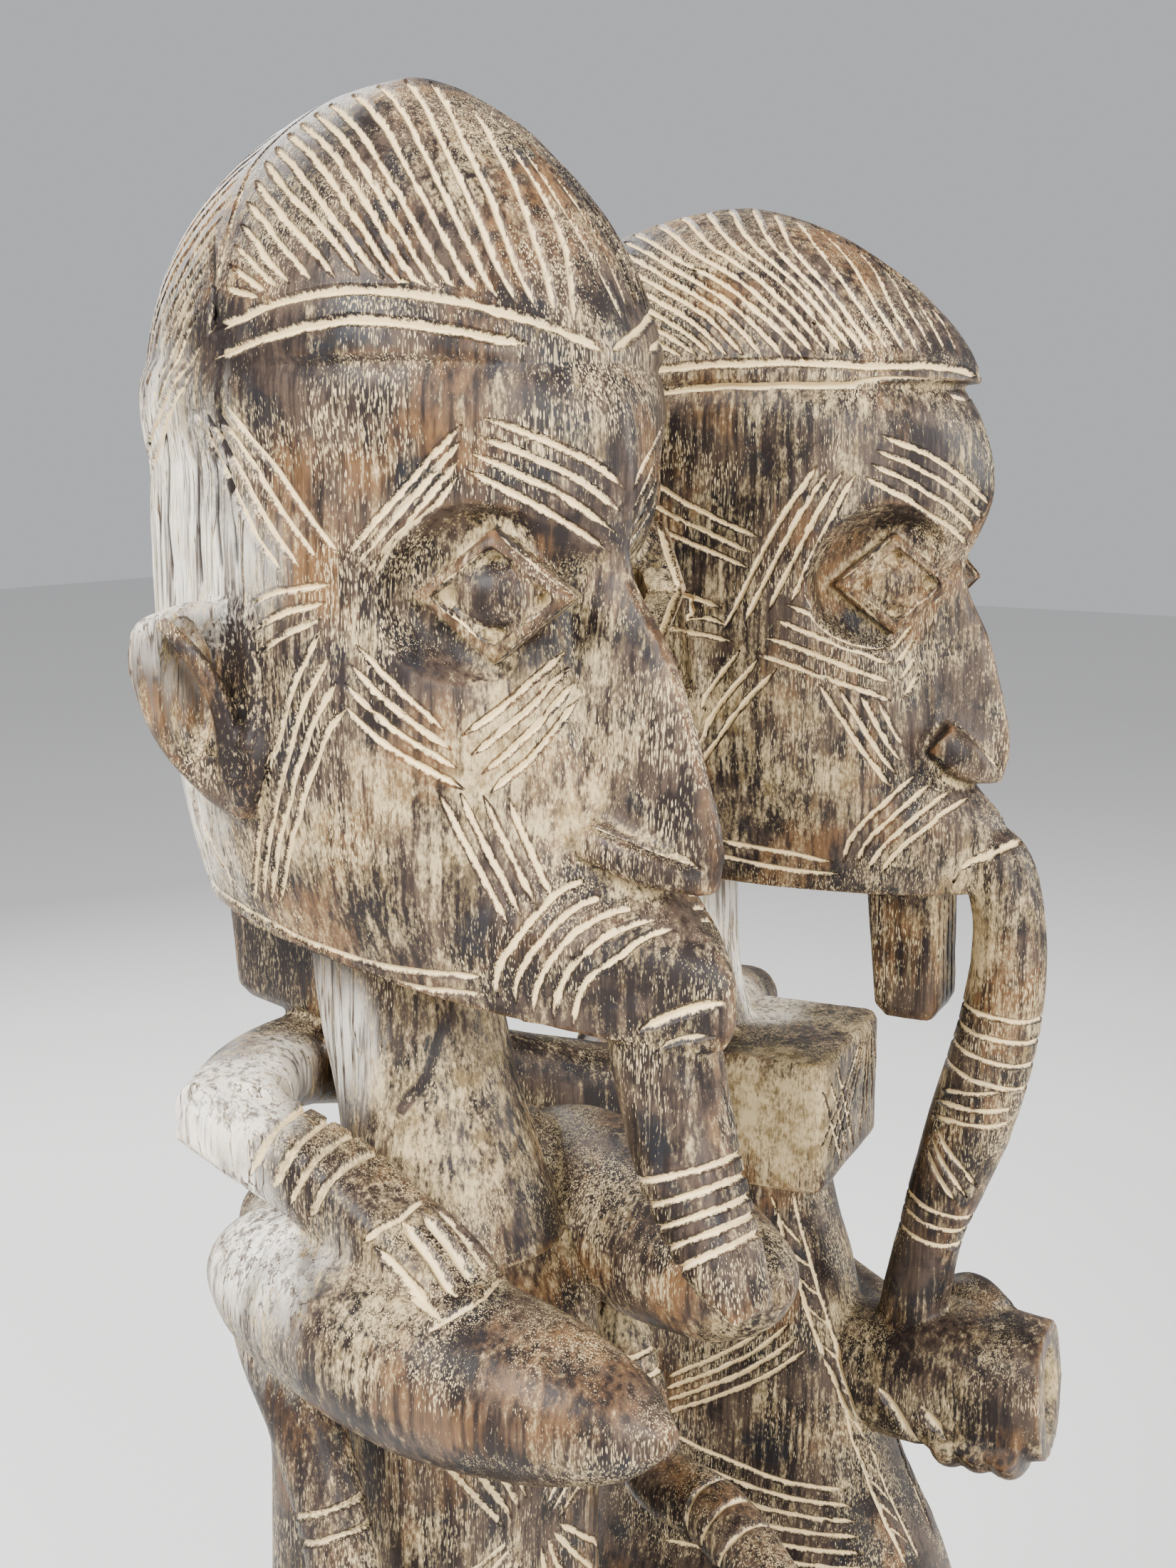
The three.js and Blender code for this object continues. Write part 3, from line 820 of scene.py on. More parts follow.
def base():
    def oval(z, inset):
        return z, BASE_HALF_X - inset, -BASE_HALF_Y + inset, BASE_HALF_Y - inset

    rows = [oval(0, 1), oval(3, 0), oval(BASE_HEIGHT - 4, 0), oval(BASE_HEIGHT, 3)]
    return stack(rows, square=BASE_SQUARE)


# Carving the block

# Rounds of smoothing that blend the skin, and those whose result shows where it is hollow
BLEND_ROUNDS = 2
HOLLOW_ROUNDS = 40

# Broad and fine tool marks: size in millimetres, share and random seed
TOOL_MARKS = ((14, 0.6, 1), (6, 0.4, 2))


def soft_noise(points, size, seed):
    """Smooth random height between -1 and 1 at each point, with bumps of the given size"""
    cells = 64
    lattice = np.random.default_rng(seed).uniform(-1, 1, (cells, cells, cells))
    scaled = np.asarray(points) / size
    low = np.floor(scaled).astype(int)
    share = scaled - low
    share = share * share * (3 - 2 * share)
    total = 0
    for corner in np.ndindex(2, 2, 2):
        weight = np.prod(np.where(corner, share, 1 - share), axis=1)
        total = total + weight * lattice[tuple(((low + corner) % cells).T)]
    return total


def smoothed(source, rounds):
    """Coordinates of the object's mesh after rounds of smoothing"""
    modifier = source.modifiers.new("smooth", "SMOOTH")
    modifier.factor = 0.5
    modifier.iterations = rounds
    depsgraph = bpy.context.evaluated_depsgraph_get()
    points = mesh_values(source.evaluated_get(depsgraph).data.vertices, "co", 3)
    source.modifiers.remove(modifier)
    return points


def carved_block(sizes):
    """The forms joined into one skin, with tool marks and an attribute that says how hollow it is"""
    coarser = 1.0
    shells = [base(), stool(), placed(woman() + embracing_arm(), WOMAN_PLACE), placed(man(), MAN_PLACE)]
    block = new_mesh_object("block", *merged(shells))
    remesh = block.modifiers.new("merge", "REMESH")
    remesh.mode = "VOXEL"
    remesh.voxel_size = sizes.surface_step * coarser
    remesh.use_smooth_shade = True
    applied(block)

    mesh = block.data
    points = smoothed(block, BLEND_ROUNDS) / MM
    normals = mesh_values(mesh.vertex_normals, "vector", 3)
    marks = sum(share * soft_noise(points, size, seed) for size, share, seed in TOOL_MARKS)
    standing = np.clip((points[:, 2] - 1) / 3, 0, 1)
    points += normals * ((marks - 0.5) * standing * sizes.tool_marks / MM)[:, None]
    mesh.vertices.foreach_set("co", (points * MM).astype(np.float32).ravel())
    mesh.update()

    far = smoothed(block, int(HOLLOW_ROUNDS / coarser**2)) / MM
    normals = mesh_values(mesh.vertex_normals, "vector", 3)
    hollow = np.einsum("ij,ij->i", far - points, normals)
    mesh.attributes.new("hollow", "FLOAT", "POINT").data.foreach_set("value", hollow.astype(np.float32))
    return block


def thin(target, limit):
    """The object once edges are collapsed until about limit triangles are left"""
    target.data.calc_loop_triangles()
    found = len(target.data.loop_triangles)
    if found > limit:
        decimate = target.modifiers.new("thin", "DECIMATE")
        decimate.ratio = limit / found
        decimate.use_collapse_triangulate = True
        applied(target)
    return target


# Carved lines

class Lines:
    """Control points of carved lines and of cracks, with their widths"""

    def __init__(self, surface, place):
        self.surface = surface
        self.x, self.y, self.turn = place
        self.lines = []
        self.cracks = []

    def world(self, points):
        return turned(points, self.turn) + (self.x, self.y, 0)

    def lay(self, points, width=1.0, closed=False, mirror=False):
        """One line through (x, y, z) points, or through (y, z) points seen from the figure's right"""
        points = np.array(points, float)
        for side in ((1, -1) if mirror else (1,)):
            line = self.from_side(points, side) if points.shape[1] == 2 else points * (side, 1, 1)
            if len(line) > 1:
                self.lines.append((self.world(line), width, closed))

    def from_side(self, points, side):
        """Where lines level with the figure's sides meet its surface"""
        found = []
        for y, z in points:
            start = self.world([(-54 * side, y, z)])[0] * MM
            ahead = turned([(side, 0, 0)], self.turn)[0]
            hit, *_ = self.surface.ray_cast(Vector(start), Vector(ahead))
            if hit is not None:
                found.append(turned(np.array([hit]) / MM - (self.x, self.y, 0), -self.turn)[0])
        return np.array(found)

    def crack(self, points):
        """Drying crack through points given as for lay"""
        points = np.array(points, float)
        line = self.from_side(points, 1) if points.shape[1] == 2 else points
        self.cracks.append((self.world(line), 1.0, False))

    def outline(self, eye):
        """Lines along the outer and inner edges of both lids"""
        outer = (LID["half"] + 0.8, LID["tall"] + 0.8, 1.5, 1.2)
        for half, tall, out, width in (outer, (*LID_OPENING, 3, 0.8)):
            corners = np.array([(-half, 0, 0), (0, 0, -tall), (half, 0, 0), (0, 0, tall)]) - (0, out, 0)
            for k in range(4):
                ends = np.array([corners[k], corners[(k + 1) % 4]])
                side = np.array([ends[0], ends.mean(0), ends[1]])
                self.lay(turned(side, -EYE_TURN) + np.array(eye), width, mirror=True)

    def spread(self, count, *keys, at=None, width=1.0, mirror=False):
        """Lines spread evenly between key lines that have equally many points"""
        for line in between(keys, count, at):
            self.lay(line, width, mirror=mirror)

    def ring(self, stations, t, width=1.0, start=0.0, end=360.0, mirror=False, **shape):
        """Line round a limb, a share t along it, from a start to an end angle"""
        closed = end - start >= 360
        angles = np.linspace(start, end, 24, endpoint=not closed) * DEG
        self.lay(section(stations, t, angles, **shape)[0], width, closed, mirror)


def between(keys, count, at=None):
    """Lines, count in all, blended between the key lines, which stand evenly or at the given numbers"""
    keys = np.array(keys, float)
    at = np.linspace(0, count - 1, len(keys)) if at is None else at
    flat = keys.reshape(len(keys), -1)
    spread = [np.interp(np.arange(count), at, column) for column in flat.T]
    return np.stack(spread, 1).reshape(count, -1, keys.shape[2])


def woman_hair_lines(cut):
    """Band, crease, and locks that fan forward and back from the crease"""
    cut.lay([(-49, 3, 622), (-47, -16, 626), (-39, -36, 628), (-27, -52, 626), (-14, -59, 622),
             (-1, -64, 617)], 1.25, mirror=True)
    cut.lay([(-49, 1, 616.5), (-48, -18, 620), (-41, -36, 622.5), (-29, -53, 620.5), (-17, -60, 618)],
            1.25, mirror=True)
    cut.lay([(-3, 6, 676), (-18, 6, 669), (-30, 9, 658), (-40, 4, 642), (-48, 3, 621)], 0.9, mirror=True)
    cut.spread(
        18,
        [(-1.5, -40, 662), (-2, -51, 645), (-4, -58, 633), (-7, -62, 622)],
        [(-2, -15, 675), (-11, -35, 660), (-15, -53, 636), (-14, -59, 625)],
        [(-17, 0, 670), (-27, -24, 659), (-29, -46, 635), (-27, -52, 628)],
        [(-25, 4, 663), (-34, -17, 655), (-36, -42, 632), (-34, -45, 630)],
        [(-31, 4, 657), (-37, -10, 650), (-40, -27, 640), (-39, -36, 631)],
        [(-40, 0, 643), (-43, -7, 640), (-45, -13, 636), (-45, -22, 630)],
        [(-46, -1, 631), (-46, -5, 629.5), (-46, -8, 629), (-47, -14, 628)],
        at=[0, 2, 6, 9, 11, 14, 17], mirror=True,
    )
    cut.spread(
        14,
        [(-3, 14, 675), (-4, 35, 664), (-5, 52, 650), (-6, 63, 628)],
        [(-20, 12, 668), (-22, 30, 657), (-24, 46, 643), (-25, 57, 620)],
        [(-31, 13, 657), (-35, 26, 647), (-38, 37, 634), (-38, 46, 611)],
        [(-41, 9, 643), (-44, 18, 633), (-45, 28, 622), (-44, 37, 605)],
        [(-48, 8, 627), (-49, 13, 622), (-49, 18, 616), (-48, 25, 607)],
        mirror=True,
    )
    cut.lay([(-49, 6, 620), (-49, 14, 614), (-48, 28, 603), (-41, 45, 596), (-22, 60, 590), (-1, 66, 588)],
            1.1, mirror=True)
    cut.lay([(-49, 8, 615), (-49, 15, 609), (-48, 29, 598), (-41, 46, 591), (-22, 60, 585), (-1, 66, 583)],
            1.1, mirror=True)


def woman_face_lines(cut):
    """Bundles that meet at the temple, below the eye and at the mouth"""
    cut.spread(4, [(-4, 607), (-20, 591), (-33, 577)], [(8, 606), (-8, 584), (-19, 573)], mirror=True)
    cut.spread(3, [(-8, 566), (-18, 569), (-31, 571)], [(-11, 556), (-19, 560), (-29, 564)], mirror=True)
    cut.spread(3, [(35, 535), (22, 517), (9, 500)], [(27, 520), (16, 508), (6, 499)],
               width=0.7, mirror=True)
    cut.spread(4, [(-29, 562), (-21, 549), (-13, 532), (3, 499)],
               [(-34, 546), (-29, 540), (-20, 523), (-7, 500)], mirror=True)
    cut.spread(4, [(-28, -53, 603), (-36, -43, 589), (-42, -33, 576)],
               [(-29, -53, 593), (-34, -47, 583), (-40, -39, 571)], mirror=True)
    cut.spread(4, [(-25, -56, 604), (-16, -63, 600), (-7, -69, 595), (-1, -72, 590)],
               [(-28, -54, 594), (-21, -61, 589), (-10, -65, 583), (-3, -69, 577)], mirror=True)
    cut.spread(4, [(-36, 559), (-44, 550), (-51, 542)], [(-33, 547), (-41, 539), (-54, 530)], mirror=True)
    cut.spread(4, [(-29, -53, 541), (-20, -58, 548), (-9, -62, 557)],
               [(-26, -58, 529), (-17, -62, 537), (-8, -66, 548)], mirror=True)
    cut.spread(4, [(-50, 530), (-55, 518), (-64, 503)], [(-60, 528), (-64, 518), (-70, 508)], mirror=True)
    cut.spread(
        5,
        [(-12, -79, 514), (-17, -72, 511), (-23, -68, 505), (-27, -61, 493), (-26, -60, 487)],
        [(-4, -90, 504), (-11, -83, 498), (-17, -79, 494), (-19, -76, 488), (-18, -74, 482)],
        mirror=True,
    )
    cut.spread(2, [(-30, 36, 500), (-41, 10, 496), (-38, -20, 491), (-34, -39, 490), (-29, -58, 491)],
               [(-30, 36, 496), (-41, 10, 492), (-37, -22, 487.5), (-33, -40, 486), (-28, -58, 487)],
               mirror=True)
    cut.outline(WOMAN_HEAD["eye"])
    cut.lay([(-13, -73, 526), (-8, -84, 521), (-2.5, -95, 515.5)], 0.9, mirror=True)
    cut.lay([(-13, -87, 482), (-8, -95, 487), (-2, -101, 489)], 1.4, mirror=True)
    cut.lay([(-11, -90, 478), (-7, -95, 481), (-2, -98, 482)], 1.0, mirror=True)


def woman_cracks(cut):
    """Drying cracks across the temple and down the neck"""
    for crack in (
        [(10, 642), (4, 632), (-1, 621), (-2, 606), (-2, 594), (-4, 581), (-5, 572)],
        [(22, 602), (25, 586), (23, 569)],
        [(9, 600), (10, 587), (9, 573), (8, 567)],
        [(2, 603), (2, 584), (0, 571)],
        [(36, 612), (41, 593), (39, 575), (37, 558)],
        [(29, 590), (32, 575), (31, 560)],
        [(-21, 470), (-21, 455), (-20, 446)],
    ):
        cut.crack(crack)


def woman_plug_and_arm_lines(cut):
    """Rings of the lip plug, the embracing hand with its bracelet, and the rings of her own arms"""
    for t in (0.47, 0.535, 0.60, 0.665, 0.73):
        cut.ring(LABRET, t, 1.0, up=(0, 1, 0))
    for t in (0.27, 0.335, 0.40, 0.465):
        cut.ring(EMBRACING_FOREARM, t, 1.2, -10, 215, square=3)
    cut.lay([(-49, -42, 434), (-42, -46, 439), (-31, -43, 441)], 1.1)
    cut.spread(4, [(-47.5, -45, 434), (-47.5, -65, 424)], [(-31, -46, 439), (-31, -63, 428)], width=1.7)
    cut.lay([(-51, -64, 421), (-40, -68, 424), (-27, -61, 426)], 0.9)
    for t, width in ((0.345, 1.0), (0.375, 1.0), (0.60, 0.9), (0.63, 0.9), (0.66, 0.9)):
        cut.ring(WOMAN_ARM, t, width, mirror=True, up=(1, 0, 0))


def woman_torso_lines(cut):
    """Bundles that cross at the navel"""
    cut.spread(4, [(-34, -42, 378), (-22, -44, 366), (-11, -44, 352)],
               [(-12, -43, 384), (-9, -44, 371), (-4, -44, 357)])
    cut.spread(4, [(30, -41, 386), (14, -43, 370), (1, -44, 355)],
               [(35, -40, 364), (22, -43, 356), (6, -44, 346)])
    cut.spread(4, [(-35, -40, 338), (-22, -43, 343), (-9, -44, 348)],
               [(-20, -43, 322), (-13, -44, 330), (-5, -44, 342)])
    cut.spread(4, [(1, -44, 342), (3, -44, 330), (5, -43, 318)],
               [(7, -44, 345), (18, -44, 336), (32, -41, 326)])


def man_hair_lines(cut):
    """Double band, and locks that fan down from the crown"""
    cut.lay([(-49, 20, 617.5), (-47, 0, 619), (-43, -24, 619.5), (-33, -45, 619), (-18, -56, 619),
             (-1, -63, 617)], 1.3, mirror=True)
    cut.lay([(-49, 20, 612), (-47, 0, 613.5), (-43, -24, 614), (-33, -47, 614), (-18, -57, 614),
             (-1, -64, 612)], 1.1, mirror=True)
    cut.spread(
        22,
        [(-1.5, -38, 652), (-2, -46, 643), (-5, -55, 632), (-8, -59, 621.5)],
        [(-2, -22, 661), (-9, -35, 649), (-19, -44, 636), (-21, -52, 621.5)],
        [(-2, -5, 665), (-22, -16, 652), (-30, -32, 635), (-32, -44, 621.5)],
        [(-3, 16, 664), (-26, 0, 653), (-34, -19, 639), (-37, -36, 621.5)],
        [(-12, 34, 657), (-30, 15, 649), (-38, -5, 639), (-42, -27, 621.5)],
        [(-27, 34, 647), (-39, 14, 640), (-44, -2, 631), (-46, -12, 621.5)],
        [(-37, 34, 638), (-43, 20, 632), (-46, 9, 627), (-48, 0, 621.5)],
        [(-45, 34, 626), (-47, 26, 624), (-48, 20, 623), (-48, 14, 621.5)],
        mirror=True,
    )
    cut.spread(
        12,
        [(-3, 38, 659), (-4, 56, 647), (-5, 69, 632), (-6, 76, 612)],
        [(-18, 40, 653), (-21, 55, 641), (-23, 65, 628), (-24, 71, 606)],
        [(-32, 40, 641), (-35, 49, 633), (-37, 56, 622), (-38, 61, 604)],
        [(-42, 40, 630), (-44, 45, 624), (-45, 49, 616), (-45, 52, 602)],
        mirror=True,
    )
    cut.spread(2, [(-49, 24, 616), (-48, 36, 606), (-40, 58, 598), (-20, 73, 595), (-1, 77, 594)],
               [(-49, 24, 611), (-48, 37, 601), (-40, 58, 593), (-20, 73, 590), (-1, 77, 589)], mirror=True)


def man_face_lines(cut):
    """Bundles that meet beside the eye, on the cheek and at the jaw"""
    cut.spread(3, [(15, 589), (-3, 580), (-18, 574)], [(14, 577), (-2, 571), (-15, 566)], mirror=True)
    cut.spread(4, [(-43, -32, 593), (-46, -22, 577), (-48, -8, 549)],
               [(-38, -41, 591), (-42, -36, 580), (-45, -26, 557)], mirror=True)
    cut.spread(4, [(-34, -46, 601), (-22, -57, 595), (-11, -65, 588), (-2, -69, 582)],
               [(-37, -43, 590), (-29, -53, 584), (-12, -62, 575), (-4, -65, 570)], mirror=True)
    cut.spread(3, [(10, 560), (2, 558), (-8, 555)], [(10, 549), (0, 548), (-11, 546)], mirror=True)
    cut.spread(3, [(-13, 544), (-4, 532), (8, 514)], [(-23, 539), (-13, 528), (0, 510)], mirror=True)
    cut.spread(5, [(-44, -27, 561), (-39, -36, 556), (-23, -46, 549)],
               [(-46, -17, 543), (-40, -33, 537), (-24, -49, 529)], mirror=True)
    cut.spread(4, [(-24, -48, 543), (-19, -50, 546), (-14, -53, 550)],
               [(-21, -51, 529), (-17, -53, 532), (-13, -55, 537)], mirror=True)
    cut.spread(4, [(-41, -33, 535), (-34, -42, 519), (-26, -50, 505)],
               [(-28, -46, 530), (-24, -49, 522), (-20, -52, 515)], mirror=True)
    cut.outline(MAN_HEAD["eye"])
    cut.lay([(-12, -60, 525), (-9, -67, 518), (-2.5, -74.5, 509)], 0.9, mirror=True)
    cut.spread(
        4,
        [(-20, -56, 508), (-28, -49, 501), (-31, -41, 493), (-31, -38, 484)],
        [(-7, -68, 501), (-17, -61, 496), (-25, -53, 488), (-27, -48, 480)],
        mirror=True,
    )
    cut.spread(2, [(-34, 30, 492), (-41, 0, 489), (-38, -23, 486), (-33, -36, 484)],
               [(-34, 30, 487), (-41, 0, 484), (-37, -23, 481), (-32, -38, 480)], mirror=True)


def pipe_lines(cut):
    """Rings, and rising and falling strokes between them"""
    for t in (0.41, 0.44, 0.47, 0.50, 0.68, 0.70, 0.725):
        cut.ring(PIPE, t, 1.0, up=(0, 1, 0))
    for first, last, start, end in (
        (0.535, 0.505, 125, 215), (0.55, 0.525, 120, 250), (0.572, 0.545, 120, 255),
        (0.58, 0.635, 135, 235), (0.595, 0.65, 130, 225), (0.61, 0.66, 125, 212),
    ):
        at = np.linspace(0, 1, 6)
        angles = (start + (end - start) * at) * DEG
        stroke = section(PIPE, first + (last - first) * at, angles, up=(0, 1, 0))
        cut.lay([stroke[i][i] for i in range(6)], 1.0, mirror=True)


def chest_block_lines(cut):
    """Bundles that fan down from the top of the front face and cross"""
    cut.spread(4, [(8, -34, 420), (-29, -34, 398)], [(15, -34, 420), (-13, -34, 387)])
    cut.spread(4, [(16, -34, 420), (10, -34, 387)], [(21, -34, 420), (29, -34, 400)])
    cut.spread(3, [(-29, -34, 415), (-9, -34, 387)], [(-17, -34, 420), (4, -34, 387)])


def mouth_and_hand_lines(cut):
    """Mouth, the seam where the pipe meets it, and the grooves under the bowl where the hand wraps it"""
    cut.lay([(-12, -66, 481), (-9, -74, 484.5), (-4, -79, 487), (3, -80, 487)], 1.5)
    cut.crack([(-7.5, -76, 487), (-8.5, -77, 482), (-10, -78, 476)])
    cut.lay([(-18, -50, 321), (-19, -55, 316), (-15, -60, 306), (-6, -63, 300)], 1.8)
    cut.lay([(-19, -63, 319), (-20, -67, 314), (-20.5, -71, 310)], 2.2)


def beard_and_torso_lines(cut):
    """Beard, bundles on the flanks, and a double line with rungs down each front edge"""
    cut.spread(5, [(-10, -62, 482), (-10, -62, 437)], [(10, -62, 482), (10, -62, 437)], width=0.8)
    cut.spread(4, [(16, 313), (-8, 329), (-21, 343)], [(17, 301), (-10, 316), (-28, 330)])
    cut.spread(6, [(14, 295), (-18, 289), (-42, 287)], [(14, 262), (-20, 264), (-50, 265)], mirror=True)
    cut.spread(2, [(-22, -16, 378), (-20, -28, 341), (-17, -44, 300), (-15, -59, 262)],
               [(-17, -21, 378), (-15, -31, 341), (-11, -48, 300), (-8, -64, 262)], mirror=True)
    cut.spread(11, [(-21, -17, 372), (-16, -24, 360)], [(-20, -28, 341), (-14, -34, 331)],
               [(-17, -44, 300), (-10, -51, 290)], [(-16, -54, 276), (-9, -61, 267)],
               width=0.7, mirror=True)


def stool_and_base_lines(cut):
    """Rims of the stool and the base, and the zigzag between double rings round the waist"""
    around = np.linspace(0, 360, 72, endpoint=False) * DEG

    def rim(z, half_x, half_y, y, square):
        cut.lay(np.stack([
            half_x * signed_power(np.cos(around), 2 / square),
            y + half_y * signed_power(np.sin(around), 2 / square),
            np.full(len(around), z),
        ], 1), closed=True)

    seat_under = SEAT_TOP - SEAT_THICK
    for z in (seat_under + 4, SEAT_TOP - 7):
        rim(z, STOOL_HALF_X, STOOL_HALF_Y, STOOL_CENTRE_Y, STOOL_SQUARE)
    rim(BASE_HEIGHT - 8, BASE_HALF_X, BASE_HALF_Y, 0, BASE_SQUARE)
    waist_x, waist_y = STOOL_HALF_X * STOOL_WAIST, STOOL_HALF_Y * STOOL_WAIST
    for z in (70, 76, 142, 148):
        rim(z, waist_x, waist_y, STOOL_CENTRE_Y, STOOL_SQUARE)
    corner = np.arange(2 * ZIGZAG_TEETH)
    angle = corner / ZIGZAG_TEETH * math.pi
    for rise in (0, ZIGZAG_RISE):
        cut.lay(np.stack([
            waist_x * signed_power(np.cos(angle), 2 / STOOL_SQUARE),
            STOOL_CENTRE_Y + waist_y * signed_power(np.sin(angle), 2 / STOOL_SQUARE),
            np.where(corner % 2, ZIGZAG_LOW, ZIGZAG_HIGH) + rise,
        ], 1), 1.1, closed=True)


def leg_lines(cut):
    """Toes, and short strokes below each knee"""
    toe_y = SHIN_Y - 24
    for x in np.array([-7, -2.3, 2.3, 7]) - KNEE_X:
        cut.lay([(x, toe_y + 5, 37), (x, toe_y - 4, 32), (x, toe_y - 9, 24)], 0.9, mirror=True)
    for x in np.array([-7.5, -2.5, 2.5, 7.5]) - KNEE_X - 1:
        cut.lay([(x, -112, 262), (x, -113, 240), (x, -112, 229)], 0.8, mirror=True)


# What is cut in which frame, in order
CARVING = (
    (WOMAN_PLACE, (
        woman_hair_lines, woman_face_lines, woman_plug_and_arm_lines, woman_torso_lines, woman_cracks,
    )),
    (MAN_PLACE, (
        man_hair_lines, man_face_lines, pipe_lines, chest_block_lines, mouth_and_hand_lines,
        beard_and_torso_lines,
    )),
    ((0, 0, 0), (stool_and_base_lines,)),
    (WOMAN_PLACE, (leg_lines,)),
    (MAN_PLACE, (leg_lines,)),
)


def all_lines(surface):
    """Every carved line and every crack"""
    lines, cracks = [], []
    for place, parts in CARVING:
        cut = Lines(surface, place)
        for part in parts:
            part(cut)
        lines += cut.lines
        cracks += cut.cracks
    return lines, cracks


def kept_apart(lines):
    """The lines in batches, so that no two lines of a batch come near each other"""
    steps = [np.array(step) for step in np.ndindex(3, 3, 3)]
    batches = []
    for line in lines:
        points = np.concatenate([line[0], line[0][:1]]) if line[2] else line[0]
        along = np.concatenate([[0], np.cumsum(np.linalg.norm(np.diff(points, axis=0), axis=1))])
        at = np.linspace(0, along[-1], int(along[-1] / LINE_SAMPLE) + 2)
        fine = np.stack([np.interp(at, along, column) for column in points.T], 1)
        cells = {tuple(cell) for cell in np.floor(fine / LINE_GAP).astype(int)}
        for batch, taken in batches:
            if not cells & taken:
                break
        else:
            batch, taken = [], set()
            batches.append((batch, taken))
        batch.append(line)
        taken.update(tuple(np.array(cell) + step - 1) for cell in cells for step in steps)
    return [batch for batch, taken in batches]


def cut_away(target, cutting, lines, width, depth, material):
    """Cuts one batch of lines into the object"""
    guide = lines_object("carved lines", lines)
    use_tree(target, cutting, lines=guide, width=width, depth=depth, material=material)
    applied(target)
    remove(guide)


def lines_object(name, lines):
    """Edge mesh of the lines, with each line's width and whether its ends taper"""
    points, edges, widths, tapers = [], [], [], []
    for line, width, closed in lines:
        first = len(points)
        points.extend(line)
        edges.extend((first + i, first + i + 1) for i in range(len(line) - 1))
        if closed:
            edges.append((first + len(line) - 1, first))
        widths.extend([width] * len(line))
        tapers.extend([0.0 if closed else 1.0] * len(line))
    made = new_mesh_object(name, points, edges=edges)
    for key, values in (("line_width", widths), ("taper", tapers)):
        made.data.attributes.new(key, "FLOAT", "POINT").data.foreach_set("value", values)
    return made


# Node trees

class NodeWriter:
    """Short way to write the nodes of a group"""

    def __init__(self, group):
        self.group = group

    def node(self, kind, result=0, settings=None, **sockets):
        """Adds a node, sets its properties and sockets, and gives one of its outputs"""
        made = self.group.nodes.new(kind)
        for key, value in (settings or {}).items():
            setattr(made, key, value)
        for key, value in sockets.items():
            target = made.inputs[int(key[1:])] if key[1:].isdigit() else made.inputs[key.replace("_", " ")]
            if isinstance(value, bpy.types.NodeSocket):
                self.group.links.new(value, target)
            else:
                target.default_value = value
        return made.outputs[result]

    def math(self, operation, a, b=0.0, c=0.0):
        return self.node("ShaderNodeMath", settings={"operation": operation}, i0=a, i1=b, i2=c)

    def times(self, a, b):
        return self.math("MULTIPLY", a, b)

    def plus(self, a, b):
        return self.math("ADD", a, b)

    def socket(self, label, kind, default=None, way="INPUT"):
        made = self.group.interface.new_socket(label, in_out=way, socket_type="NodeSocket" + kind)
        if default is not None:
            made.default_value = default


class GeometryTree(NodeWriter):
    """Modifier tree with the inputs Geometry, the given ones and Material"""

    def __init__(self, name, inputs):
        super().__init__(bpy.data.node_groups.new(name, "GeometryNodeTree"))
        self.group.is_modifier = True
        self.socket("Geometry", "Geometry")
        for given in inputs:
            self.socket(*given)
        self.socket("Material", "Material")
        self.socket("Geometry", "Geometry", way="OUTPUT")
        self.inputs = self.group.nodes.new("NodeGroupInput").outputs
        self.output = self.group.nodes.new("NodeGroupOutput").inputs[0]

    def added(self, a, b):
        return self.node("ShaderNodeVectorMath", settings={"operation": "ADD"}, i0=a, i1=b)

    def scaled(self, vector, factor):
        return self.node("ShaderNodeVectorMath", settings={"operation": "SCALE"}, i0=vector, i3=factor)

    def compared(self, operation, a, b):
        settings = {"data_type": "FLOAT", "operation": operation}
        return self.node("FunctionNodeCompare", settings=settings, i0=a, i1=b)

    def named(self, name):
        return self.node("GeometryNodeInputNamedAttribute", settings={"data_type": "FLOAT"}, Name=name)

    def object(self, label):
        return self.node("GeometryNodeObjectInfo", "Geometry", Object=self.inputs[label])

    def nearest(self, result, target, element):
        return self.node("GeometryNodeProximity", result, settings={"target_element": element}, i0=target)

    def sampled(self, mesh, value, kind):
        settings = {"data_type": kind}
        return self.node("GeometryNodeSampleNearestSurface", settings=settings, Mesh=mesh, Value=value)

    def finish(self, geometry):
        """The tree, ended with real geometry in the given material"""
        real = self.node("GeometryNodeRealizeInstances", Geometry=geometry)
        finished = self.node("GeometryNodeSetMaterial", Geometry=real, Material=self.inputs["Material"])
        self.group.links.new(finished, self.output)
        return self.group


